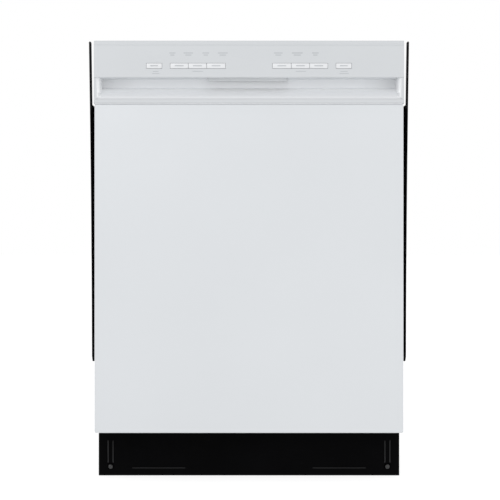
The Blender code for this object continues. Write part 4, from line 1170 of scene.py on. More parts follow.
def lower_rack_carriers():
    """Clips that hold the four wheels' stub axles to the lower rack's side wires."""
    work = bmesh.new()
    for side, word in SIDES:
        for end in ("front", "rear"):
            _, _, (_, y, z) = middle_of(f"lower_rack_wheel_{end}_{word}")
            outline = [(y - 0.012, 0.208), (y + 0.012, 0.208), (y + 0.011, 0.18)]
            outline += arc((y, z), 0.009, 20, -200, 8) + [(y - 0.011, 0.18)]
            add_outline(work, outline, side * 0.2425, side * 0.0065, "X", 0.001)
            add_box(work, (side * 0.239, y - 0.01, 0.1975), (side * 0.2485, y + 0.01, 0.207), 0.0012)
            add_rod(work, (side * 0.248, y, z), (side, 0, 0), 0.003, 0.019, segments=20)
            add_turned(work, [(0, 0), (0.0048, 0.0), (0.0052, 0.0008), (0.004, 0.0022), (0, 0.0026)],
                       along((side * 0.2645, y, z), (side, 0, 0)), 20)
    solid("lower_rack_clips", work, GREY, "lower_rack")


def rack_wheels():
    """Each wheel: a grooved tread, a dished web with round lightening holes, and a hub."""
    for name in (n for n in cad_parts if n.startswith("lower_rack_wheel")):
        low, high, (_, y, z) = middle_of(name)
        radius, width = (high.z - low.z) / 2, high.x - low.x
        out = 1 if low.x > 0 else -1
        start = low.x if out > 0 else high.x
        place = along((start, y, z), (out, 0, 0))
        work = bmesh.new()
        profile = [(0.0034, 0.0006), (0.0062, 0.0002), (0.0066, width * 0.3),
                   (radius - 0.0048, width * 0.3), (radius - 0.0036, 0.0004), (radius - 0.0006, 0.0),
                   (radius, 0.0008), (radius, width * 0.42), (radius - 0.0006, width * 0.5),
                   (radius, width * 0.58), (radius, width - 0.0008), (radius - 0.0006, width),
                   (radius - 0.0036, width - 0.0004), (radius - 0.0048, width * 0.7), (0.0066, width * 0.7),
                   (0.0062, width - 0.0002), (0.0034, width - 0.0006)]
        add_ring(work, profile, place)
        holes = bmesh.new()
        for n in range(6):
            a = math.radians(60 * n)
            start = (low.x - 0.005, y + 0.0105 * math.cos(a), z + 0.0105 * math.sin(a))
            add_rod(holes, start, RIGHT, 0.0024, 0.02, segments=16)
        solid(name + "_tread", work, GREY, name, name, cuts=(holes,))


def cutlery_basket():
    """A basket of thin bars: three cells, a slotted floor, a firm rim and a bail to lift it by."""
    low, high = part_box("silverware_basket")
    bail_top, top = high.z - 0.0035, 0.33
    thin, wall, proud, post = 0.0008, 0.0022, 0.0008, 0.0024
    y_walls = spread(low.y + wall / 2, high.y - wall / 2, 4)
    x_walls = (low.x + wall / 2, high.x - wall / 2)
    levels = spread(low.z + 0.004, top - 0.016, 10)
    work = bmesh.new()

    def upright(x, y):
        add_box(work, (x - thin, y - thin, low.z), (x + thin, y + thin, top - 0.008))

    for x in x_walls:
        for y in spread(low.y + wall / 2, high.y - wall / 2, 28):
            upright(x, y)
        for z in levels:
            add_box(work, (x - thin, low.y, z - thin), (x + thin, high.y, z + thin))
        add_box(work, (x - wall, low.y - proud, top - 0.01), (x + wall, high.y + proud, top), 0.0008)
        add_box(work, (x - wall * 0.8, low.y, low.z), (x + wall * 0.8, high.y, low.z + 0.005), 0.0006)
        for y in y_walls:
            add_box(work, (x - post, y - post, low.z), (x + post, y + post, top - 0.001), 0.0008)
    for y in y_walls:
        for x in spread(low.x + wall / 2, high.x - wall / 2, 12):
            upright(x, y)
        for z in levels:
            add_box(work, (low.x, y - thin, z - thin), (high.x, y + thin, z + thin))
        add_box(work, (low.x - proud, y - wall, top - 0.01), (high.x + proud, y + wall, top), 0.0008)
        add_box(work, (low.x, y - wall * 0.8, low.z), (high.x, y + wall * 0.8, low.z + 0.005), 0.0006)
    for y in spread(low.y + 0.004, high.y - 0.004, 26):
        add_box(work, (low.x, y - thin, low.z), (high.x, y + thin, low.z + 2 * thin))
    for x in spread(low.x + 0.004, high.x - 0.004, 10):
        add_box(work, (x - thin, low.y, low.z), (x + thin, high.y, low.z + 2 * thin))
    solid("cutlery_basket", work, GREY, "lower_rack", "silverware_basket")
    middle, front, rear, foot = (low.x + high.x) / 2, low.y + 0.002, high.y - 0.002, top - 0.03
    bail = rounded([(middle, front, foot), (middle, front, bail_top), (middle, rear, bail_top),
                    (middle, rear, foot)], 0.022, 6)
    wires("cutlery_bail", [bail], 0.0035, GREY, "lower_rack")


def rack_rails():
    """The fixed C-shaped guides and the rails that slide in them, with end stops and caps."""
    for side, word in SIDES:
        low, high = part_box("rail_guide_" + word)
        outer, inner = reach_of(low, high)
        lip, sheet = 0.0038, 0.0012
        section = [(inner, low.z), (outer, low.z), (outer, high.z), (inner, high.z), (inner, high.z - lip),
                   (inner + sheet, high.z - lip), (inner + sheet, high.z - sheet),
                   (outer - sheet, high.z - sheet), (outer - sheet, low.z + sheet),
                   (inner + sheet, low.z + sheet), (inner + sheet, low.z + lip), (inner, low.z + lip)]
        work = bmesh.new()
        add_outline(work, [(side * x, z) for x, z in section], low.y, high.y - low.y, "Y", 0.0003)
        solid("guide_channel_" + word, work, ZINC, "cabinet", "rail_guide_" + word)
        stops = bmesh.new()
        for y in (low.y + 0.002, high.y - 0.01):
            add_box(stops, (side * (inner + 0.0015), y, high.z - 0.0036),
                    (side * (outer - 0.001), y + 0.007, high.z - 0.0014), 0.0006)
        solid("guide_stops_" + word, stops, GREY, "cabinet")
        low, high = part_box("rack_rail_" + word)
        outer, inner = reach_of(low, high)
        middle = (low.z + high.z) / 2
        section = [(inner + 0.0012, low.z), (outer - 0.0006, low.z), (outer, low.z + 0.0006),
                   (outer, high.z - 0.0006), (outer - 0.0006, high.z), (inner + 0.0012, high.z),
                   (inner, high.z - 0.0012), (inner, middle + 0.003), (inner + 0.0022, middle + 0.0016),
                   (inner + 0.0022, middle - 0.0016), (inner, middle - 0.003), (inner, low.z + 0.0012)]
        work = bmesh.new()
        add_outline(work, [(side * x, z) for x, z in section], low.y, high.y - low.y, "Y", 0.0002)
        solid("sliding_rail_" + word, work, ZINC, "upper_rails", "rack_rail_" + word)
        caps = bmesh.new()
        x0, x1 = sorted((side * (inner - 0.0004), side * (outer + 0.0001)))
        add_box(caps, (x0, low.y - 0.0022, low.z - 0.0008), (x1, low.y + 0.01, high.z + 0.0008), 0.0012)
        solid("rail_cap_" + word, caps, GREY, "upper_rails")


upper_rack()
lower_rack()
rack_wheels()
cutlery_basket()
rack_rails()


# ---------------------------------------------------------------- water system
def blade_section(half, centre, thick):
    """A blade's (y, z) outline: flat edges, and crowned faces that flatten as it narrows to its tip."""
    bow = 0.55 + 0.45 * min(1.0, half / 0.012)
    right = [(0.4, 0.5 * bow), (0.8, 0.38 * bow), (1.0, 0.08), (1.0, -0.08), (0.84, -0.4 * bow),
             (0.4, -0.5 * bow)]
    left = [(-y, z) for y, z in reversed(right)]
    return [(y * half, centre + thick * z) for y, z in right + left]


def spray_arm(node, nozzle_shift):
    """A two-bladed arm: crowned blades, raised nozzles, stiffening ribs and a hub with a locking ring."""
    low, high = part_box(node)
    reach = high.x - 0.001
    lower = node.startswith("lower")
    base, blade = low.z + (0.004 if lower else 0.0035), 0.0135
    tip, root = 0.017, 0.0215
    work = bmesh.new()
    rings = []
    for x in spread(-reach, reach, 23):
        from_tip = reach - abs(x)
        half = root + (tip - root) * min(1.0, abs(x) / reach)
        if from_tip < tip:
            half = half * math.sqrt(max(0.0008, 1 - ((tip - from_tip) / tip) ** 2))
        section = blade_section(half, base + blade * 0.5, blade)
        rings.append([work.verts.new((x, CENTRE_Y + y, z)) for y, z in section])
    add_skin(work, rings)
    work.faces.new(rings[0])
    work.faces.new(list(reversed(rings[-1])))
    top = base + blade
    for x in (0.058, 0.096, 0.132, 0.166, reach - 0.017):
        for side, _ in SIDES:
            y = CENTRE_Y + side * nozzle_shift * (0.0055 if x < 0.14 else 0.0)
            add_turned(work, [(0, -0.003), (0.0058, -0.003), (0.0055, 0.0006), (0.0042, 0.0012),
                              (0.003, 0.0008), (0.0022, -0.0012), (0, -0.0012)],
                       Matrix.Translation((side * x, y, top)), 20)
    for side, _ in SIDES:
        for edge in (-1, 1):
            y = CENTRE_Y + edge * 0.015
            add_box(work, (side * 0.04, y - 0.0008, top - 0.003), (side * 0.15, y + 0.0008, top - 0.0004),
                    0.0004)
    centre = Matrix.Translation((0, CENTRE_Y, 0))
    bore = 0.0068 if lower else 0.0058
    hub = [(bore, low.z), (0.0225, low.z), (0.0255, low.z + 0.002), (0.0258, high.z - 0.004),
           (0.0235, high.z - 0.0012), (0.014, high.z - 0.0008), (0.0125, high.z), (bore, high.z)]
    add_ring(work, hub, centre)
    for n in range(12):
        add_block(work, turned(centre, 30 * n), (0.019, 0, high.z - 0.001), (0.008, 0.0014, 0.0016))
    solid(node + "_blades", work, GREY, node, node)


def perforated_plate(work, inner, outer, z, cell, hole, skip):
    """Hexagonal cells with hexagonal holes, between two radii, joined edge to edge."""
    step_x, step_y = cell * math.sqrt(3), cell * 1.5
    rows = int(outer / step_y) + 2
    for row in range(-rows, rows + 1):
        for col in range(-rows, rows + 1):
            x = (col + (0.5 if row % 2 else 0.0)) * step_x
            y = row * step_y
            far = math.hypot(x, y)
            if far < inner + cell or far > outer - cell or skip(x, y):
                continue
            place = Matrix.Translation((x, CENTRE_Y + y, 0)) @ Matrix.Rotation(math.radians(30), 4, "Z")
            add_skin(work, [ring_at(work, place, size, z, 6) for size in (cell, hole)])


CUP_X = -0.045  # the middle of the fine filter's cup


def coarse_filter():
    """The perforated disc over the sump, with a rim outside, round the hub and round the cup."""
    low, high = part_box("coarse_filter")
    outer = high.x
    work = bmesh.new()
    perforated_plate(work, 0.017, outer - 0.0015, high.z - 0.0008, 0.0031, 0.0021,
                     lambda x, y: math.hypot(x - CUP_X, y) < 0.0305)
    bmesh.ops.remove_doubles(work, verts=work.verts, dist=0.0002)
    thickened(solid("filter_plate", work, SHEET, "cabinet", "coarse_filter"), 0.0006)
    rims = bmesh.new()
    centre = Matrix.Translation((0, CENTRE_Y, 0))
    add_ring(rims, [(outer - 0.005, low.z), (outer - 0.0004, low.z), (outer, low.z + 0.0006),
                    (outer - 0.0006, high.z - 0.0004), (outer - 0.003, high.z),
                    (outer - 0.006, high.z - 0.0008)], centre, 64)
    add_ring(rims, [(0.016, low.z), (0.02, low.z), (0.0205, high.z - 0.0006), (0.018, high.z),
                    (0.016, high.z - 0.0004)], centre)
    add_ring(rims, [(0.0268, low.z), (0.0318, low.z), (0.0322, high.z - 0.0008), (0.03, high.z),
                    (0.0268, high.z - 0.0002)], Matrix.Translation((CUP_X, CENTRE_Y, 0)))
    solid("filter_rims", rims, GREY, "cabinet")


def fine_filter():
    """The lift-out cup: a cage of upright bars and thin rings, with a grip across its top."""
    low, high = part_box("fine_filter")
    place = Matrix.Translation((CUP_X, CENTRE_Y, 0))
    cup = bmesh.new()
    radius = high.x - CUP_X
    for z0, z1 in ((low.z, low.z + 0.006), (0.112, 0.1145), (high.z - 0.012, high.z - 0.001)):
        add_ring(cup, [(radius - 0.0024, z0), (radius - 0.0003, z0), (radius, z0 + 0.0005),
                       (radius, z1 - 0.0005), (radius - 0.0004, z1), (radius - 0.0024, z1)], place)
    for n in range(36):
        add_block(cup, turned(place, 10 * n), (radius - 0.0012, 0, (low.z + high.z) / 2 - 0.003),
                  (0.001, 0.0011, high.z - low.z - 0.012))
    for n in range(11):
        z = 0.096 + n * 0.0038
        add_ring(cup, [(radius - 0.0016, z), (radius - 0.0007, z), (radius - 0.0007, z + 0.0008),
                       (radius - 0.0016, z + 0.0008)], place, 36)
    add_turned(cup, [(0, low.z), (radius - 0.001, low.z), (radius - 0.001, low.z + 0.0016),
                     (0, low.z + 0.0016)], place, 48)
    add_box(cup, (CUP_X - 0.0022, CENTRE_Y - radius + 0.0012, high.z - 0.0145),
            (CUP_X + 0.0022, CENTRE_Y + radius - 0.0012, high.z - 0.0004), 0.0009, 3)
    add_rod(cup, (CUP_X, CENTRE_Y, high.z - 0.014), UP, 0.0065, 0.0125, segments=24)
    solid("filter_cup", cup, GREY, "fine_filter", "fine_filter")


def float_dome():
    """A ribbed cap that is open below, with a small ring on its top."""
    low, high, middle = middle_of("float_cap")
    r = (high.x - low.x) / 2
    place = Matrix.Translation((middle.x, middle.y, 0))
    work = bmesh.new()
    add_ring(work, [(0.0008, high.z - 0.0002), (r * 0.55, high.z - 0.0008), (r * 0.85, high.z - 0.005),
                    (r * 0.97, high.z - 0.012), (r, low.z + 0.004), (r, low.z), (r - 0.0016, low.z),
                    (r - 0.0016, high.z - 0.012), (r * 0.8, high.z - 0.0066), (0.0008, high.z - 0.003)],
             place)
    for n in range(16):
        add_block(work, turned(place, 22.5 * n), (r + 0.0002, 0, low.z + 0.0075), (0.0012, 0.0016, 0.014))
    add_ring(work, [(0.0042, high.z - 0.0006), (0.0062, high.z - 0.0008), (0.0062, high.z + 0.0004),
                    (0.0042, high.z + 0.0004)], place, 24)
    solid("float_dome", work, GREY, "float_cap", "float_cap")


def heater():
    """The sheathed element: a bent rod on wire feet, with sleeves where it goes through the floor."""
    low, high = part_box("heating_element")
    radius = 0.004
    z = high.z - radius
    front, back = low.y + radius, high.y - radius
    half = high.x - radius
    path = rounded([(-0.03, front, low.z), (-0.03, front, z), (-half, front, z), (-half, back, z),
                    (half, back, z), (half, front, z), (0.03, front, z), (0.03, front, low.z)], 0.05, 10)
    wires("heater_rod", [path], radius, HEATER, "cabinet", "heating_element", resolution=5)
    sleeves = bmesh.new()
    for x in (-0.03, 0.03):
        add_ring(sleeves, [(0.0042, TUB_FLOOR + 0.0002), (0.0085, TUB_FLOOR + 0.0002),
                           (0.0085, TUB_FLOOR + 0.003), (0.006, TUB_FLOOR + 0.0075),
                           (0.0042, TUB_FLOOR + 0.008)], Matrix.Translation((x, front, 0)), 24)
    solid("heater_sleeves", sleeves, GREY, "cabinet")
    feet = []
    for x, y in ((-0.1, back), (0.1, back), (-half, 0.03), (half, 0.03)):
        across = Vector((0, 0.006, 0)) if y == back else Vector((0.006, 0, 0))
        foot, side, top = Vector((x, y, TUB_FLOOR + 0.001)), Vector((x, y, z + 0.002)), (x, y, z + 0.0058)
        feet.append([foot - across, side - across * 0.9, top, side + across * 0.9, foot + across])
    wires("heater_feet", feet, 0.0011, ZINC, "cabinet")


MANIFOLD_Z = 0.487  # the height of the upper rack's water tube


def water_feed():
    """The riser up the back wall to the ceiling nozzle, with the socket for the upper rack's tube."""
    radius = 0.0075
    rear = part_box("water_feed_tube")[1].y - radius
    path = rounded([(0, 0.146, 0.1365), (0, rear, 0.1365), (0, rear, 0.814), (0, 0.05, 0.814)], 0.018, 8)
    wires("riser_tube", [path], radius, GREY, "cabinet", "water_feed_tube", resolution=5)
    work = bmesh.new()
    add_ring(work, [(0.008, 0.0), (0.012, 0.0), (0.0125, 0.001), (0.0118, 0.016), (0.008, 0.016)],
             along((0, rear - 0.003, MANIFOLD_Z), FRONT), 32)
    for z in (0.25, 0.37, 0.6, 0.72):
        add_box(work, (-0.0125, rear - 0.004, z - 0.005), (0.0125, rear + 0.016, z + 0.005), 0.0014)
        add_ring(work, [(0.0074, -0.006), (0.0096, -0.006), (0.0096, 0.006), (0.0074, 0.006)],
                 Matrix.Translation((0, rear, z)), 32)
    nozzle_y = 0.055
    place = Matrix.Translation((0, nozzle_y, 0))
    add_turned(work, [(0, 0.802), (0.0245, 0.802), (0.026, 0.8034), (0.0255, 0.806), (0.0205, 0.817),
                      (0, 0.8175)], place, 40)
    for n in range(8):
        a = math.radians(45 * n)
        jet = (0.016 * math.cos(a), nozzle_y + 0.016 * math.sin(a), 0.8022)
        add_turned(work, [(0, 0.0), (0.0022, 0.0), (0.002, 0.0012), (0.001, 0.0012), (0.0008, 0.0004),
                          (0, 0.0004)], along(jet, (0, 0, -1)), 12)
    solid("riser_fittings", work, GREY, "cabinet")


def rack_manifold():
    """The tube under the upper rack that feeds its spray arm."""
    low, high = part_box("rack_manifold")
    radius, end = 0.0072, high.y - 0.001
    path = [(0, y, MANIFOLD_Z) for y in (CENTRE_Y, 0.12, 0.2, end)]
    wires("manifold_tube", [path], radius, GREY, "upper_rack", "rack_manifold", resolution=5)
    work = bmesh.new()
    place = Matrix.Translation((0, CENTRE_Y, 0))
    add_turned(work, [(0, 0.4768), (0.015, 0.4768), (0.0178, 0.4786), (0.018, 0.492), (0.015, 0.4944),
                      (0, 0.4948)], place, 40)
    add_rod(work, (0, CENTRE_Y, low.z + 0.0004), UP, 0.0048, 0.02, segments=24)
    for y in (0.08, 0.14, 0.2):
        add_ring(work, [(radius, -0.004), (radius + 0.0022, -0.004), (radius + 0.0022, 0.004),
                        (radius, 0.004)], along((0, y, MANIFOLD_Z), REAR), 28)
        add_box(work, (-0.009, y - 0.003, 0.493), (0.009, y + 0.003, 0.504), 0.001)
    add_ring(work, [(radius - 0.001, -0.01), (radius + 0.003, -0.008), (radius + 0.0006, 0.0),
                    (radius - 0.001, 0.0)], along((0, end, MANIFOLD_Z), REAR), 28)
    solid("manifold_fittings", work, GREY, "upper_rack")


spray_arm("lower_spray_arm", 1.0)
spray_arm("upper_spray_arm", -1.0)
coarse_filter()
fine_filter()
float_dome()
heater()
water_feed()
rack_manifold()


# ---------------------------------------------------------------- inside the door
def vent_slots(work, face, depth):
    """Seven boxes to cut the vent's slots with, as deep before the liner's face as behind it."""
    for n in range(7):
        z = 0.69 + n * 0.006
        add_box(work, (0.148, face - depth, z), (0.188, face + depth, z + 0.0026))


def door_liner():
    """The moulded inner panel: a flange and a raised middle with soft edges."""
    low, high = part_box("door_liner")
    plate, face = -0.25, high.y
    half, bottom, top = 0.2595, 0.142, 0.8145
    work = bmesh.new()
    flange = rounded_rectangle(low.x, high.x, low.z, high.z, 0.006, 8)
    steps = [(0.0, plate), (0.0035, plate), (0.006, plate + 0.0015)]
    wall = face - plate
    steps += [(0.006 + 0.01 * (1 - math.cos(math.radians(a))),
               plate + 0.0015 + (wall - 0.0015) * math.sin(math.radians(a))) for a in (25, 45, 60, 75, 90)]
    rings = [[work.verts.new((x, y, z)) for x, z in flange] for y in (low.y + 0.0006, plate)]
    for inset, y in steps:
        outline = rounded_rectangle(-half + inset, half - inset, bottom + inset, top - inset,
                                    max(0.022 - inset, 0.01), 8)
        rings.append([work.verts.new((x, y, z)) for x, z in outline])
    add_skin(work, rings)
    work.faces.new(rings[-1])
    bmesh.ops.recalc_face_normals(work, faces=work.faces)
    bmesh.ops.solidify(work, geom=list(work.faces), thickness=0.0018)
    holes = bmesh.new()
    add_box(holes, (-0.0903, -0.28, 0.3597), (0.0903, -0.19, 0.4703))
    add_box(holes, (-0.019, -0.28, 0.8295), (0.019, -0.24, 0.8405))
    vent_slots(holes, face, 0.01)
    solid("liner_panel", work, LINER, "door", "door_liner", cuts=(holes,))
    liner_trims(face)
    liner_screws(plate)


def liner_trims(face):
    """Pressed ribs across the liner, and the vent's raised pad."""
    trims = bmesh.new()
    for z in (0.215, 0.255, 0.295, 0.54, 0.58, 0.62):
        add_outline(trims, rounded_rectangle(-0.195, 0.195, z - 0.0045, z + 0.0045, 0.0044, 5), face - 0.002,
                    0.0032, "Y", 0.0009, 3)
    add_outline(trims, rounded_rectangle(0.14, 0.196, 0.68, 0.74, 0.008, 5), face - 0.0018, 0.0026, "Y",
                0.0008)
    holes = bmesh.new()
    vent_slots(holes, face, 0.02)
    solid("liner_ribs", trims, LINER, "door", cuts=(holes,))


def liner_screws(plate):
    """Domed screws round the liner's flange."""
    screws = bmesh.new()
    spots = [(side * 0.288, z) for side, _ in SIDES for z in (0.15, 0.29, 0.43, 0.57, 0.71, 0.835)]
    spots += [(x, 0.848) for x in (-0.2, -0.1, 0.1, 0.2)] + [(x, 0.12) for x in (-0.2, 0.0, 0.2)]
    for x, z in spots:
        add_turned(screws, [(0, 0.0016), (0.0016, 0.0016), (0.0038, 0.0008), (0.0042, 0.0), (0, 0.0)],
                   along((x, plate - 0.0002, z), REAR), 20)
    solid("liner_screws", screws, ZINC, "door")


CAP_X, CAP_Z = 0.05, 0.415  # the middle of the rinse-aid cap
GAUGE_X = 0.012


def dispenser():
    """The dispenser's case with a well for detergent and one for the rinse-aid cap, its marks and gauge."""
    low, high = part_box("dispenser_body")
    face = -0.2095
    body = bmesh.new()
    add_outline(body, rounded_rectangle(low.x, high.x, low.z, high.z, 0.01, 6), low.y, face - low.y, "Y",
                0.0016, 3)
    cut = bmesh.new()
    add_outline(cut, rounded_rectangle(-0.08, -0.015, 0.388, 0.432, 0.008, 6), -0.234, 0.05, "Y")
    add_outline(cut, rounded_rectangle(-0.085, -0.01, 0.381, 0.439, 0.007, 6), -0.211, 0.05, "Y")
    add_rod(cut, (CAP_X, -0.22, CAP_Z), REAR, 0.0165, 0.05, segments=48)
    add_rod(cut, (CAP_X, -0.2112, CAP_Z), REAR, 0.022, 0.05, segments=48)
    add_rod(cut, (GAUGE_X, -0.2125, CAP_Z), REAR, 0.0065, 0.05, segments=32)
    solid("dispenser_case", body, BLUE, "door", "dispenser_body", cuts=(cut,))
    marks = bmesh.new()
    for n in range(9):
        a = math.radians(210 - n * 30)
        x, z = CAP_X + 0.0192 * math.cos(a), CAP_Z + 0.0192 * math.sin(a)
        add_rod(marks, (x, -0.2114, z), REAR, 0.001, 0.0008, segments=12)
    for z in (0.398, 0.404, 0.41):
        add_box(marks, (-0.079, -0.2334, z), (-0.066, -0.2326, z + 0.0012), 0.0003)
    add_box(marks, (-0.06, -0.2336, 0.389), (-0.058, -0.224, 0.431), 0.0006)
    solid("dispenser_marks", marks, LINER, "door", slot="blue_plastic")
    glass = bmesh.new()
    add_turned(glass, [(0, 0.0), (0.006, 0.0), (0.006, 0.0016), (0.004, 0.0026), (0, 0.003)],
               along((GAUGE_X, -0.2122, CAP_Z), REAR), 32)
    solid("rinse_gauge", glass, CONSOLE, "door", slot="blue_plastic")


def detergent_lid():
    """The lid: a plate with a raised panel and a ribbed catch."""
    lid = bmesh.new()
    plate = rounded_rectangle(-0.084, -0.011, 0.382, 0.438, 0.006, 6)
    panel = rounded_rectangle(-0.0775, -0.0175, 0.3885, 0.425, 0.005, 5)
    add_outline(lid, plate, -0.2092, 0.002, "Y", 0.0006, 3)
    add_outline(lid, panel, -0.2074, 0.0008, "Y", 0.0003)
    add_box(lid, (-0.056, -0.2078, 0.43), (-0.039, -0.205, 0.435), 0.0008, 3)
    for x in spread(-0.053, -0.042, 5):
        add_box(lid, (x - 0.0005, -0.2054, 0.4306), (x + 0.0005, -0.2046, 0.4344), 0.0002)
    solid("lid_plate", lid, BLUE, "detergent_lid", "detergent_lid")


def rinse_cap():
    """A round cap with a bar across it to turn it by, and a knurled edge."""
    place = along((CAP_X, -0.2173, CAP_Z), REAR)
    cap = bmesh.new()
    add_turned(cap, [(0, 0.0), (0.0146, 0.0), (0.0152, 0.0006), (0.0154, 0.005), (0.0154, 0.0088),
                     (0.0146, 0.0097), (0.012, 0.0094), (0, 0.0092)], place, 48)
    add_box(cap, (0.037, -0.2086, 0.4128), (0.063, -0.2042, 0.4172), 0.0014, 3)
    for n in range(24):
        add_block(cap, turned(place, 15 * n), (0.0152, 0, 0.0075), (0.0008, 0.0012, 0.003))
    solid("filler_cap", cap, BLUE, "rinse_aid_cap", "rinse_aid_cap")


def door_latch():
    """The lever under the console: a ribbed finger paddle with a short arm, and its steel rod."""
    work = bmesh.new()
    paddle = [(-0.285, 0.795), (-0.285, 0.785), (-0.2843, 0.7838), (-0.283, 0.7835), (-0.2822, 0.7842),
              (-0.282, 0.7855), (-0.282, 0.795)]
    add_outline(work, paddle, -0.08, 0.154, "X", 0.0004)
    for x in spread(-0.07, 0.064, 9):
        add_box(work, (x - 0.0007, -0.2824, 0.786), (x + 0.0007, -0.2806, 0.7945), 0.0003)
    arm = [(-0.285, 0.7935), (-0.285, 0.8165), (-0.2835, 0.819), (-0.279, 0.819), (-0.277, 0.8175),
           (-0.2775, 0.813), (-0.2812, 0.813), (-0.282, 0.81), (-0.282, 0.7935)]
    add_outline(work, arm, -0.0075, 0.015, "X", 0.0005)
    for side, _ in SIDES:
        rib = [(-0.2822, 0.796), (-0.2806, 0.7965), (-0.2812, 0.809), (-0.2822, 0.81)]
        add_outline(work, rib, side * 0.0055 - 0.0008, 0.0016, "X", 0.0002)
    solid("latch_lever", work, LATCH_AND_UNDERSIDE_LIGHT, "door_latch", "door_latch")
    rod = bmesh.new()
    add_rod(rod, (-0.0865, -0.2835, 0.7935), RIGHT, 0.0014, 0.167, segments=16)
    solid("latch_rod", rod, ZINC, "door_latch")


def pocket_ribs():
    """Three upright guide ribs on the back of the handle's recess."""
    work = bmesh.new()
    for x in (0.0665, 0.0712, 0.0757):
        add_box(work, (x - 0.0006, -0.273, 0.769), (x + 0.0006, -0.2712, 0.7872), 0.0003)
    solid("pocket_ribs", work, POCKET_PAINTED_SHADE, "door")


def control_board():
    """The control board: a laminate plate with relays, a chip, sockets, capacitors and small parts."""
    low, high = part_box("control_board")
    back = -0.2929
    plate = bmesh.new()
    add_box(plate, (low.x, -0.2945, 0.7985), (high.x, back, 0.84), 0.0003)
    solid("board_plate", plate, BOARD, "door", "control_board")
    parts, metal = bmesh.new(), bmesh.new()
    for x in (-0.185, -0.16, -0.135):
        add_box(parts, (x - 0.0095, back, 0.815), (x + 0.0095, -0.2775, 0.834), 0.001)
    add_box(parts, (0.02, back, 0.822), (0.038, -0.2905, 0.836), 0.0004)
    for x in spread(0.0215, 0.0365, 9):
        for z in (0.8208, 0.8362):
            add_box(metal, (x - 0.0004, back, z), (x + 0.0004, -0.2918, z + 0.0012))
    for x in (0.11, 0.145, 0.18):
        add_box(parts, (x - 0.012, back, 0.822), (x + 0.012, -0.28, 0.834), 0.0006)
        for pin in spread(x - 0.0095, x + 0.0095, 6):
            add_box(metal, (pin - 0.0005, -0.2802, 0.8272), (pin + 0.0005, -0.279, 0.8284))
    for x, radius in ((-0.105, 0.006), (-0.088, 0.006), (0.075, 0.0048)):
        add_turned(metal, [(0, 0), (radius, 0), (radius, 0.0125), (radius * 0.9, 0.0135), (0, 0.0133)],
                   along((x, back, 0.828), REAR), 24)
    for n in range(14):
        x = -0.07 + n * 0.0115
        add_rod(parts, (x, back + 0.0012, 0.804), UP, 0.0012, 0.006, segments=12)
    for x in spread(-0.195, 0.195, 5):
        add_turned(metal, [(0, 0.0018), (0.0028, 0.0014), (0.0032, 0.0), (0, 0.0)],
                   along((x, back, 0.8005), REAR), 16)
    solid("board_parts", parts, PUMP, "door")
    solid("board_pins", metal, ZINC, "door")


def hinge_arms():
    """The CAD arms with their edges softened, and rivets on their inner side."""
    for side, word in SIDES:
        low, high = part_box("hinge_arm_" + word)
        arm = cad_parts["hinge_arm_" + word]
        work = bmesh.new()
        work.from_mesh(arm.data)
        work.transform(arm.matrix_world)
        bmesh.ops.dissolve_limit(work, angle_limit=math.radians(1), verts=work.verts, edges=work.edges)
        edges = [e for e in work.edges if abs(e.verts[0].co.x - e.verts[1].co.x) < 1e-5
                 and e.calc_length() > 0.0008 and len(e.link_faces) == 2
                 and e.calc_face_angle() > math.radians(50)]
        soften(work, edges, 0.00035, clamp=True)
        solid("door_arm_" + word, work, ZINC, "door", "hinge_arm_" + word)
        rivets = bmesh.new()
        _, inner = reach_of(low, high)
        for z in (0.15, 0.2, 0.245):
            add_turned(rivets, [(0, 0.0012), (0.0024, 0.001), (0.0034, 0.0), (0, 0.0)],
                       along((side * inner, -0.276, z), (-side, 0, 0)), 20)
        solid("door_arm_rivets_" + word, rivets, ZINC, "door")


def door_springs():
    """Tension coils from the base's tabs to the hinge arms' tails, shaped at rest; on the real machine they
    stretch as the door drops.
    """
    for side, word in SIDES:
        x, y, low, high = side * 0.2848, -0.185, 0.029, 0.089
        turns, per_turn, radius = 17, 12, 0.0034
        start, stop = low + 0.009, high - 0.009
        coil = [(x, y, low), (x, y, low + 0.005), (x + radius * 0.6, y, low + 0.0075)]
        for n, z in enumerate(spread(start, stop, turns * per_turn + 1)):
            a = 2 * math.pi * n / per_turn
            coil.append((x + radius * math.cos(a), y + radius * math.sin(a), z))
        coil += [(x + radius * 0.6, y, high - 0.0075), (x, y, high - 0.005), (x, y, high)]
        curve = wire_curve("spring_coil_" + word, [coil], 0.0007, resolution=2)
        made = placed("spring_coil_" + word, evaluated_mesh(placed("tube", curve)))
        made.data.materials.append(ZINC)
        made.data.shade_smooth()
        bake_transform(made)
        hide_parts("door_spring_" + word)


def door_seal():
    """The tub's gasket: a round bulb with a thin lip in front of it, round three sides of the mouth."""
    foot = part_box("door_gasket")[0].z

    def arch(x, y, top):
        return rounded([(-x, y, foot), (-x, y, top), (x, y, top), (x, y, foot)], 0.012, 8)

    half, y, top = 0.2692, -0.2405, 0.8237
    bulb, lip = arch(half, y, top), arch(half - 0.0012, y - 0.0018, top - 0.0012)
    wires("gasket_bulb", [bulb], 0.0023, GASKET, "cabinet", "door_gasket", resolution=4)
    wires("gasket_lip", [lip], 0.0009, GASKET, "cabinet", resolution=2)


door_liner()
dispenser()
detergent_lid()
rinse_cap()
door_latch()
pocket_ribs()
control_board()
hinge_arms()
door_springs()
door_seal()


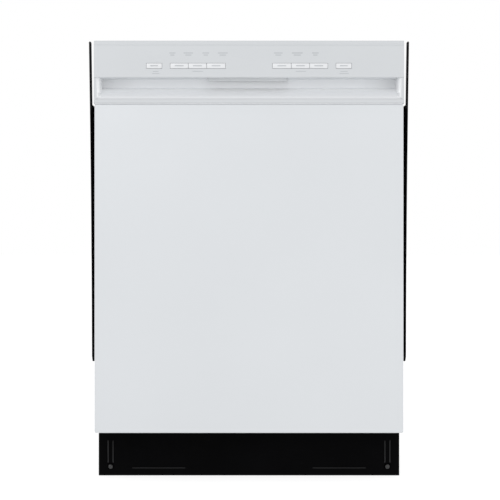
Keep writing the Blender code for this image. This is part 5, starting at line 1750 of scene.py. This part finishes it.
# ---------------------------------------------------------------- in the sump and the base
def sump():
    """The bowl: a clamped lip, a stepped wall with ribs inside, and the post that the lower arm turns on."""
    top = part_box("sump")[1].z
    place = Matrix.Translation((0, CENTRE_Y, 0))
    work = bmesh.new()
    wall = [(0.088, 0.1275), (0.0874, 0.128), (0.0862, 0.1276), (0.0768, 0.1272), (0.0762, 0.096),
            (0.072, 0.09), (0.058, 0.056), (0.056, 0.0542), (0.014, 0.054), (0.014, 0.0504),
            (0.059, 0.0504), (0.0608, 0.0512), (0.0795, 0.095), (0.0797, 0.125), (0.0878, 0.1254)]
    add_ring(work, wall, place, 64)
    post = [(0, 0.0508), (0.0142, 0.0508), (0.014, 0.16), (0.0134, 0.164), (0.012, 0.165),
            (0.0062, 0.1652), (0.006, 0.1745), (0.0052, top), (0, top)]
    add_turned(work, post, place, 40)
    for n in range(8):
        rib = [(0.0138, 0.0535), (0.024, 0.0535), (0.019, 0.08), (0.0155, 0.15), (0.0138, 0.15)]
        add_fin(work, rib, 0.0016, turned(place, 22.5 + 45 * n))
    for n in range(12):
        rib = [(0.06, 0.06), (0.0768, 0.096), (0.0768, 0.12), (0.0745, 0.12), (0.0738, 0.0985)]
        add_fin(work, rib, 0.0016, turned(place, 30 * n + 15))
    solid("sump_bowl", work, GREY, "cabinet", "sump")


def circulation_pump():
    """A volute with a bolted flange, a finned motor with its copper winding at the end, and a rubber foot."""
    place = along((0.085, 0.07, 0.073), RIGHT)
    outlet = along((0.11, 0.07, 0.07), FRONT)
    work = bmesh.new()
    add_turned(work, [(0, 0.0), (0.025, 0.0), (0.03, 0.002), (0.0385, 0.006), (0.0398, 0.012),
                      (0.0398, 0.04), (0.0375, 0.042), (0.04, 0.044), (0.04, 0.05),
                      (0.034, 0.0545), (0, 0.0545)], place, 56)
    motor = [(0, 0.054), (0.03, 0.054)]
    for n in range(9):
        z = 0.0575 + n * 0.0075
        motor += [(0.03, z), (0.033, z + 0.0008), (0.033, z + 0.0032), (0.03, z + 0.004)]
    motor += [(0.029, 0.127), (0.026, 0.131), (0.012, 0.133), (0, 0.133)]
    add_turned(work, motor, place, 48)
    add_ring(work, [(0.008, -0.001), (0.012, -0.001), (0.012, 0.012), (0.0104, 0.014), (0.0104, 0.05),
                    (0.012, 0.052), (0.012, 0.055), (0.008, 0.055)], outlet, 32)
    for n in range(6):
        add_turned(work, [(0, 0.0415), (0.0034, 0.0415), (0.0034, 0.054), (0, 0.0548)],
                   turned(place, 60 * n) @ Matrix.Translation((0.0372, 0, 0)), 12)
    add_box(work, (0.15, 0.052, 0.0228), (0.21, 0.088, 0.048), 0.003, 3)
    solid("pump_body", work, PUMP, "cabinet", "circulation_pump")
    coil = bmesh.new()
    add_ring(coil, [(0.014, 0.131), (0.0235, 0.129), (0.0262, 0.1315), (0.024, 0.1372), (0.017, 0.1382)],
             place, 40)
    solid("pump_winding", coil, COPPER, "cabinet", slot="pump_plastic")
    clamp = bmesh.new()
    for height in (0.01, 0.046):
        add_ring(clamp, [(0.0121, height), (0.013, height), (0.013, height + 0.005),
                         (0.0121, height + 0.005)], outlet, 32)
    solid("pump_clamps", clamp, ZINC, "cabinet")


def drain_pump():
    """A small volute and motor with cooling fins, and a ridged outlet for a hose."""
    place = along((-0.1, 0.01, 0.058), (-1, 0, 0))
    work = bmesh.new()
    add_turned(work, [(0, 0.0), (0.02, 0.0), (0.025, 0.003), (0.026, 0.007), (0.026, 0.024),
                      (0.0235, 0.0262), (0.0235, 0.03), (0.0186, 0.0302), (0.019, 0.032),
                      (0.019, 0.064), (0.017, 0.068), (0.006, 0.069), (0, 0.069)], place, 40)
    for n in range(6):
        fin = [(0.018, 0.03), (0.0225, 0.03), (0.0202, 0.06), (0.018, 0.06)]
        add_fin(work, fin, 0.0016, turned(place, 60 * n + 10))
    ridged = [(0.007, -0.001), (0.0096, -0.001), (0.0096, 0.03)]
    for n in range(4):
        z = 0.034 + n * 0.0062
        ridged += [(0.0086, z), (0.01, z + 0.0012), (0.009, z + 0.0048)]
    ridged += [(0.009, 0.0598), (0.007, 0.06)]
    add_ring(work, ridged, along((-0.115, 0.01, 0.065), REAR), 32)
    solid("drain_pump_body", work, GREY, "cabinet", "drain_pump")


def inlet_valve():
    """The valve's body with a threaded union and two screws, and its coil with two tabs."""
    work = bmesh.new()
    add_box(work, (-0.215, -0.165, 0.04), (-0.175, -0.105, 0.078), 0.0022, 3)
    thread = [(0.0062, 0.0)]
    for n in range(9):
        y = 0.003 + n * 0.0029
        thread += [(0.009, y), (0.01, y + 0.001), (0.009, y + 0.0022)]
    thread += [(0.0088, 0.03), (0.0062, 0.03)]
    add_ring(work, thread, along((-0.195, -0.11, 0.058), REAR), 32)
    for x in (-0.209, -0.181):
        add_turned(work, [(0, 0.0), (0.003, 0.0), (0.003, 0.0018), (0.0022, 0.0024), (0, 0.0024)],
                   Matrix.Translation((x, -0.157, 0.0776)), 16)
    solid("valve_body", work, LINER, "cabinet", "inlet_valve")
    coil = bmesh.new()
    add_turned(coil, [(0, 0.0768), (0.014, 0.0768), (0.014, 0.08), (0.0128, 0.0806), (0.0128, 0.096),
                      (0.014, 0.0966), (0.0138, 0.1), (0.006, 0.101), (0, 0.101)],
               Matrix.Translation((-0.195, -0.135, 0)), 36)
    for x in (-0.199, -0.191):
        add_box(coil, (x - 0.0004, -0.15, 0.084), (x + 0.0004, -0.147, 0.09))
    solid("valve_coil", coil, COPPER, "cabinet")


def junction_box():
    """An open steel box with a terminal strip inside and a bushed cable entry."""
    low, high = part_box("junction_box")
    work = bmesh.new()
    add_box(work, low, high, 0.0008)
    cut = bmesh.new()
    add_box(cut, (low.x + 0.0015, low.y + 0.0015, low.z + 0.004),
            (high.x - 0.0015, high.y - 0.0015, high.z + 0.01))
    add_rod(cut, (0.2, high.y - 0.01, 0.047), REAR, 0.011, 0.03, segments=32)
    solid("junction_case", work, ZINC, "cabinet", "junction_box", cuts=(cut,))
    inside = bmesh.new()
    add_box(inside, (0.17, -0.15, 0.0262), (0.225, -0.132, 0.04), 0.001)
    add_ring(inside, [(0.008, -0.003), (0.013, -0.003), (0.013, -0.0005), (0.011, 0.0),
                      (0.011, 0.0015), (0.013, 0.002), (0.013, 0.0045), (0.008, 0.0045)],
             along((0.2, high.y - 0.001, 0.047), REAR), 32)
    solid("junction_strip", inside, PUMP, "cabinet")
    screws = bmesh.new()
    for x in spread(0.176, 0.219, 4):
        add_turned(screws, [(0, 0.0), (0.0026, 0.0), (0.0026, 0.0012), (0.0018, 0.0018), (0, 0.0018)],
                   Matrix.Translation((x, -0.141, 0.0398)), 16)
    solid("junction_screws", screws, COPPER, "cabinet")


sump()
circulation_pump()
drain_pump()
inlet_valve()
junction_box()


# ---------------------------------------------------------------- room, light and camera
def room():
    """A pale floor with a little light of its own, in an even white surrounding."""
    floor = bmesh.new()
    bmesh.ops.create_grid(floor, x_segments=2, y_segments=2, size=120)
    made = placed("floor", to_mesh("floor", floor))
    made.location = (0, 0, -0.0004)
    n = Nodes("pale_floor")
    made.data.materials.append(n.finished({
        "Base Color": n.mixed(n.ranged(n.noise(3.0, 3.0), 0, 1), (0.2, 0.2, 0.2), (0.22, 0.22, 0.22)),
        "Roughness": n.ranged(n.noise(20.0, 3.0), 0.75, 0.9),
        "Emission Color": (1, 1, 1), "Emission Strength": 0.84}))
    world = bpy.data.worlds.new("studio")
    world.use_nodes = True
    background = world.node_tree.nodes["Background"]
    background.inputs["Color"].default_value = (1, 1, 1, 1)
    background.inputs["Strength"].default_value = 1.0
    bpy.context.scene.world = world


def area_light(name, place, target, size, power, colour=(1, 1, 1)):
    lamp = bpy.data.lights.new(name, "AREA")
    lamp.shape = "RECTANGLE"
    lamp.size, lamp.size_y = size
    lamp.energy = power
    lamp.color = colour
    made = placed(name, lamp)
    made.location = place
    made.rotation_euler = (Vector(target) - Vector(place)).to_track_quat("-Z", "Y").to_euler()


def camera():
    """Level, in front of the door, as high as the door's middle."""
    data = bpy.data.cameras.new("camera")
    data.sensor_width = 36.0
    distance, seen_width = 3.3, 0.974
    data.lens = data.sensor_width * distance / seen_width
    made = placed("camera", data)
    door_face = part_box("door_outer_panel")[0].y
    made.location = (0.002, door_face - distance, 0.452)
    made.rotation_euler = (math.radians(90), 0, 0)
    bpy.context.scene.camera = made


room()
area_light("key", (-1.6, -3.0, 2.4), (0, 0, 0.5), (2.0, 2.0), 22, (0.97, 0.98, 1.0))
area_light("fill", (2.2, -2.6, 1.2), (0, 0, 0.5), (2.0, 2.4), 10, (1.0, 1.0, 0.98))
camera()
bpy.context.scene.view_settings.view_transform = "Standard"
